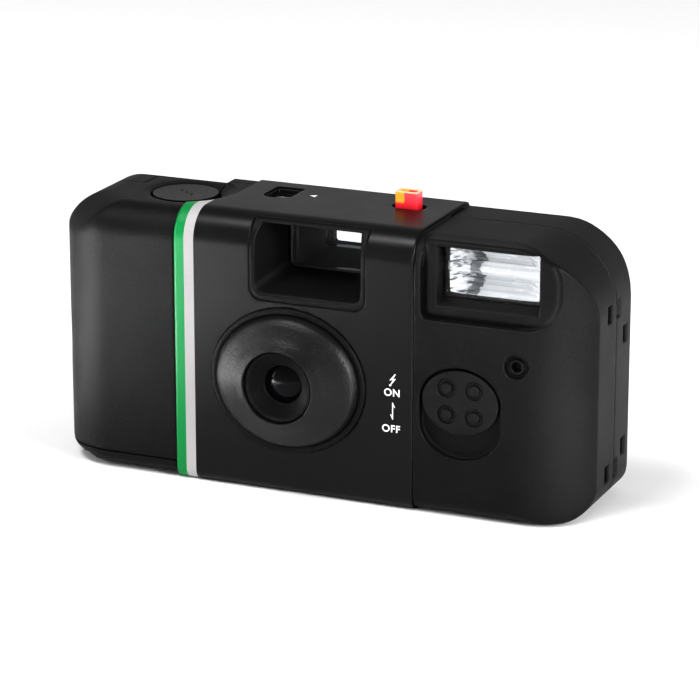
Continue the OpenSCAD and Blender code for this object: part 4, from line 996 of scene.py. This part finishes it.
def flash_bowl():
    """Bright reflector: a ribbed trough along X, closed by flared ends with radial folds."""
    x0, x1 = WINDOW_X[0] + REFLECTOR_SIDE, WINDOW_X[1] - REFLECTOR_SIDE
    mid_z, half_z = (WINDOW_Z[0] + WINDOW_Z[1]) / 2, (WINDOW_Z[1] - WINDOW_Z[0]) / 2 - REFLECTOR_EDGE
    front, depth, sheet = WINDOW_Y[1] + 0.2, 5.2, 0.25
    columns, rows = 140, 150
    flare, folds, fold_depth, ribs, rib_depth = 3.2, 17, 0.16, 24, 0.05
    points = []
    for i in range(columns):
        x = x0 + (x1 - x0) * i / (columns - 1)
        near_end = min(x - x0, x1 - x) / flare
        for j in range(rows):
            v = 2 * j / (rows - 1) - 1
            deep = depth * (1 - abs(v) ** 2.2)
            if near_end < 1:
                fan = math.atan2(v * half_z, 1.6 * (1.15 - near_end))
                fold = fold_depth * math.sin(folds * fan + 3 * math.sin(5 * v)) * math.sin(math.pi * near_end)
                deep = deep * (near_end ** 0.75) + fold * (1 - v * v)
            else:
                deep += rib_depth * math.cos(ribs * math.pi * v) * (1 - abs(v) ** 6)
            points.append((x, front + max(deep, 0), mid_z + half_z * v))
    starts = [i * rows + j for i in range(columns - 1) for j in range(rows - 1)]
    faces = [(n, n + 1, n + rows + 1, n + rows) for n in starts]
    bowl = mesh_object("flash_bowl", points, faces)
    thicken(bowl, sheet, 1)
    dress(bowl, REFLECTOR, "camera", "flash_reflector", slot="reflector_metal")


flash_pane()
flash_bowl()


# flash switch: an oval disc with four bumps, each in a round moat
def switch_field(x, y, z):
    u, v, deep = x - SWITCH[0], z - SWITCH[1], y - SWITCH_Y
    d = ellipse_field(u, v, SWITCH_A, SWITCH_B)
    d = smooth_max(d, between(y, SWITCH_Y, FRONT + RECESS_D - SINK), 0.4)
    away = np.hypot(np.abs(u) - BUMP_AT[0], np.abs(v) - BUMP_AT[1])
    d = carve(d, cross(away - MOAT_R, deep - MOAT_D), OPENING_ROUND)
    peg = smooth_max(away - PEG_R, between(deep, -PEG_RISE, PEG_D), EDGE_ROUND)
    d = smooth_min(d, peg, 0.15)
    tongue_low = (SWITCH[0] - TONGUE_A, FRONT + RECESS_D - 2 * SINK, SWITCH[1] - TONGUE)
    tongue_high = (SWITCH[0] + TONGUE_A, TONGUE_BACK, SWITCH[1] + TONGUE)
    return join(d, box_field(x, y, z, tongue_low, tongue_high))


switch_low = (SWITCH[0] - SWITCH_A, SWITCH_Y - SINK, SWITCH[1] - SWITCH_B)
switch_high = (SWITCH[0] + SWITCH_A, TONGUE_BACK, SWITCH[1] + SWITCH_B)
switch = field_object("flash_switch_disc", switch_field, switch_low, switch_high, 0.16)
dress(switch, SLIDER, "flash_slider", "flash_switch", slot="bezel_black")

# ready light: a hollow block that rises with the switch
guide_low, guide_high = [[c / MM for c in corner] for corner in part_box("light_guide")]


def guide_field(x, y, z):
    wall, depth, radius = 0.55, 2.4, 0.35
    flat = round_rect(x, y, guide_low, guide_high, [radius] * 4)[0]
    d = smooth_max(flat, between(z, guide_low[2], guide_high[2]), EDGE_ROUND)
    return carve(d, cross(flat + wall, guide_high[2] - depth - z), HOLE_ROUND)


guide = field_object("ready_light_guide", guide_field, guide_low, guide_high, 0.1)
dress(guide, GUIDE, "flash_slider", "light_guide", slot="guide_red")


# finder's front lens: flat in front, with a hollow ground into its back
def finder_glass():
    low, high = [np.array(corner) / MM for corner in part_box("finder_front_lens")]
    middle, half = (low + high) / 2, (high - low) / 2
    columns, rows = 72, 48
    hollow, oval = 0.75, (0.9, 1.25)
    levels = np.linspace(-1, 1, rows)
    rings = []
    for u in np.linspace(-1, 1, columns):
        x, heights = middle[0] + u * half[0], middle[2] + levels * half[2]
        dips = hollow * np.maximum(1 - (u / oval[0]) ** 2 - (levels / oval[1]) ** 2, 0)
        back = [(x, high[1] - dip, z) for dip, z in zip(dips, heights)]
        rings.append([(x, low[1], z) for z in heights] + back[::-1])
    glass = ring_object("finder_front_glass", rings)
    tidy_mesh(glass)
    sharpen(glass, 30)
    dress(glass, FINDER_CLEAR, "camera", "finder_front_lens", slot="lens_clear")


finder_glass()


# clear pane over the counter
def counter_pane_field(x, y, z):
    return smooth_max(counter_outline(x, y, z, -PANE_GAP), between(z, *PANE_Z), EDGE_ROUND)


pane_low, pane_high = [(*corner, level) for corner, level in zip(COUNTER_WIN, PANE_Z)]
pane = field_object("counter_pane", counter_pane_field, pane_low, pane_high, 0.14)
dress(pane, CLEAR, "camera", "counter_window", slot="lens_clear")

# CAD pieces with softened edges
for name, width in (("shutter_button", 0.25), ("thumb_wheel", 0.15)):
    edge = nodes[name].modifiers.new("soft edge", "BEVEL")
    edge.width = width * MM
    edge.segments = 3
    edge.limit_method = "ANGLE"


# raised dots on the button
def button_dot(name, spot):
    radius, height, count, sides = 0.28, 0.12, 6, 20
    rings = []
    for i in range(count):
        lift = math.radians(90 * i / (count - 1))
        r, z = radius * max(math.cos(lift), 0.02), BUTTON_TOP + height * math.sin(lift)
        rings.append([(spot[0] + r * u, spot[1] + r * v, z) for u, v in circle(sides)])
    dress(ring_object(name, rings), BEZEL, "shutter_button", slot="bezel_black")


DOT_STEP, DOT_BACK = (1.5, -0.9), 0.4
for n in range(3):
    dot_at = (BUTTON[0] + DOT_STEP[0] * (n - 1), BUTTON[1] + DOT_STEP[1] * (n - 1) + DOT_BACK)
    button_dot(f"button_dot_{n + 1}", dot_at)


# printed marks beside the switch and on the top
def mark(name, outline, place):
    """Flat print a little above the sleeve: an outline in (u, v), which place turns into points."""
    lift, sink = 0.03, -0.02
    rings = [[place(u, v, height) for u, v in outline] for height in (sink, lift)]
    obj = ring_object(name, rings, smooth=False)
    tidy_mesh(obj, 0.0005)
    dress(obj, INK, "camera", slot="sleeve_print")


def on_front(centre):
    return lambda u, v, lift: (centre[0] + u, FRONT - lift, centre[1] + v)


def on_top(centre):
    return lambda u, v, lift: (centre[0] - u, centre[1] + v, BODY_H + lift)


def word(name, letters, centre):
    """Letters in the plain built-in face, laid on the front."""
    height, share, thick, bold, sink = 1.4, 0.7, 0.025, 0.045, 0.005
    curve = bpy.data.curves.new(name, "FONT")
    curve.body = letters
    curve.align_x, curve.align_y = "CENTER", "CENTER"
    curve.size = height / share * MM
    curve.extrude = thick * MM
    curve.offset = bold * MM
    curve.space_character = 1.1
    text = placed(name + "_text", curve)
    bpy.context.view_layer.update()
    mesh = bpy.data.meshes.new_from_object(text.evaluated_get(bpy.context.evaluated_depsgraph_get()))
    bpy.data.objects.remove(text)
    stand = Matrix.Translation((centre[0] * MM, (FRONT - sink) * MM, centre[1] * MM))
    mesh.transform(stand @ Matrix.Rotation(math.pi / 2, 4, "X"))
    mesh.name = name
    dress(placed(name, mesh), INK, "camera", slot="sleeve_print")


BOLT = [
    (0.35, 1.2), (-0.75, -0.15), (-0.05, -0.05), (-0.6, -1.0), (-0.8, -0.85), (-0.72, -1.35),
    (-0.22, -1.12), (-0.42, -1.05), (0.62, 0.3), (0.02, 0.2), (0.6, 1.2),
]
ARROW = [
    (-0.11, 1.7), (0.02, 1.7), (0.5, 0.72), (0.33, 0.66), (0.11, 1.12),
    (0.11, -1.7), (-0.02, -1.7), (-0.5, -0.72), (-0.33, -0.66), (-0.11, -1.12),
]
TRIANGLE = [(-0.55, -0.75), (0.75, 0.0), (-0.55, 0.75)]
BOLT_AT, ON_AT, ARROW_AT, OFF_AT = (17.54, 25.65), (17.34, 23.07), (17.48, 19.54), (17.17, 15.95)
POINTER_AT = (-7.3, 8.0)
mark("bolt_mark", BOLT, on_front(BOLT_AT))
mark("arrow_mark", ARROW, on_front(ARROW_AT))
mark("pointer_mark", TRIANGLE, on_top(POINTER_AT))
word("on_mark", "ON", ON_AT)
word("off_mark", "OFF", OFF_AT)


# stage
def aimed(name, data, spot, aim):
    """Light or camera at a spot, turned towards its aim."""
    obj = placed(name, data)
    obj.location = spot
    obj.rotation_euler = (Vector(aim) - Vector(spot)).to_track_quat("-Z", "Y").to_euler()
    return obj


def softbox(name, spot, size, power):
    lamp = bpy.data.lights.new(name, "AREA")
    lamp.shape = "RECTANGLE"
    lamp.size, lamp.size_y = size
    lamp.energy = power
    aimed(name, lamp, spot, (0, 0, 0.03))


def spot_light(name, spot, aim, degrees, power):
    lamp = bpy.data.lights.new(name, "SPOT")
    lamp.spot_size = math.radians(degrees)
    lamp.spot_blend = 0.7
    lamp.shadow_soft_size = 0.03
    lamp.energy = power
    aimed(name, lamp, spot, aim)


FLOOR_A = 6
floor_corners = [(u * FLOOR_A, v * FLOOR_A, 0) for u, v in ((-1, -1), (1, -1), (1, 1), (-1, 1))]
floor_mesh = bpy.data.meshes.new("floor")
floor_mesh.from_pydata(floor_corners, [], [(0, 1, 2, 3)])
floor_material, tree, out, where = new_material("pale floor")
surface(tree, out, mix_colour(tree, noise(tree, where, 3.0), (0.93, 0.93, 0.93), (0.96, 0.96, 0.96)), 0.9)
floor_mesh.materials.append(floor_material)
floor = placed("floor", floor_mesh)

world = bpy.data.worlds.new("studio")
bpy.context.scene.world = world
world.use_nodes = True
sky = world.node_tree
sky_way = sky.nodes.new("ShaderNodeTexCoord").outputs["Generated"]
sky_light = ramp(sky, axis_value(sky, sky_way, "Z"), 0.15, 0.75, 0.72, 0.40)
sky.nodes["Background"].inputs["Color"].default_value = (1, 1, 1, 1)
sky.links.new(sky_light, sky.nodes["Background"].inputs["Strength"])
softbox("left softbox", (-0.95, -0.5, 0.42), (0.3, 0.8), 4)
softbox("right softbox", (0.95, -0.32, 0.4), (0.35, 0.5), 13)
softbox("top softbox", (-0.25, -0.35, 1.0), (0.45, 0.3), 7)
# three lights fall on the floor beside the case, which mirrors them, and one shines into the flash
spot_light("left floor light", (-0.25, -0.3, 0.7), (-0.138, -0.08, 0), 10, 560)
spot_light("front floor light", (-0.2, -0.4, 0.7), (-0.09, -0.15, 0), 7, 190)
spot_light("right floor light", (0.3, -0.2, 0.7), (0.1, -0.045, 0), 6, 200)
spot_light("flash light", (0.12, -0.75, 0.28), (0.0355, -0.007, 0.047), 2, 60)

# tone curve that deepens the blacks
TONE_POINTS = ((0.05, 0.022), (0.16, 0.11), (0.5, 0.48))
tones = bpy.context.scene.view_settings
tones.view_transform = "Standard"
tones.use_curve_mapping = True
for tone in TONE_POINTS:
    tones.curve_mapping.curves[3].points.new(*tone)
tones.curve_mapping.update()

# camera at the photograph's angle
EYE = (0.24789, -0.56512, 0.21585)
AIM = (0.00330, 0.00119, 0.02621)
lens = bpy.data.cameras.new("camera")
lens.sensor_width = 36
lens.lens = 173.0
bpy.context.scene.camera = aimed("camera", lens, EYE, AIM)
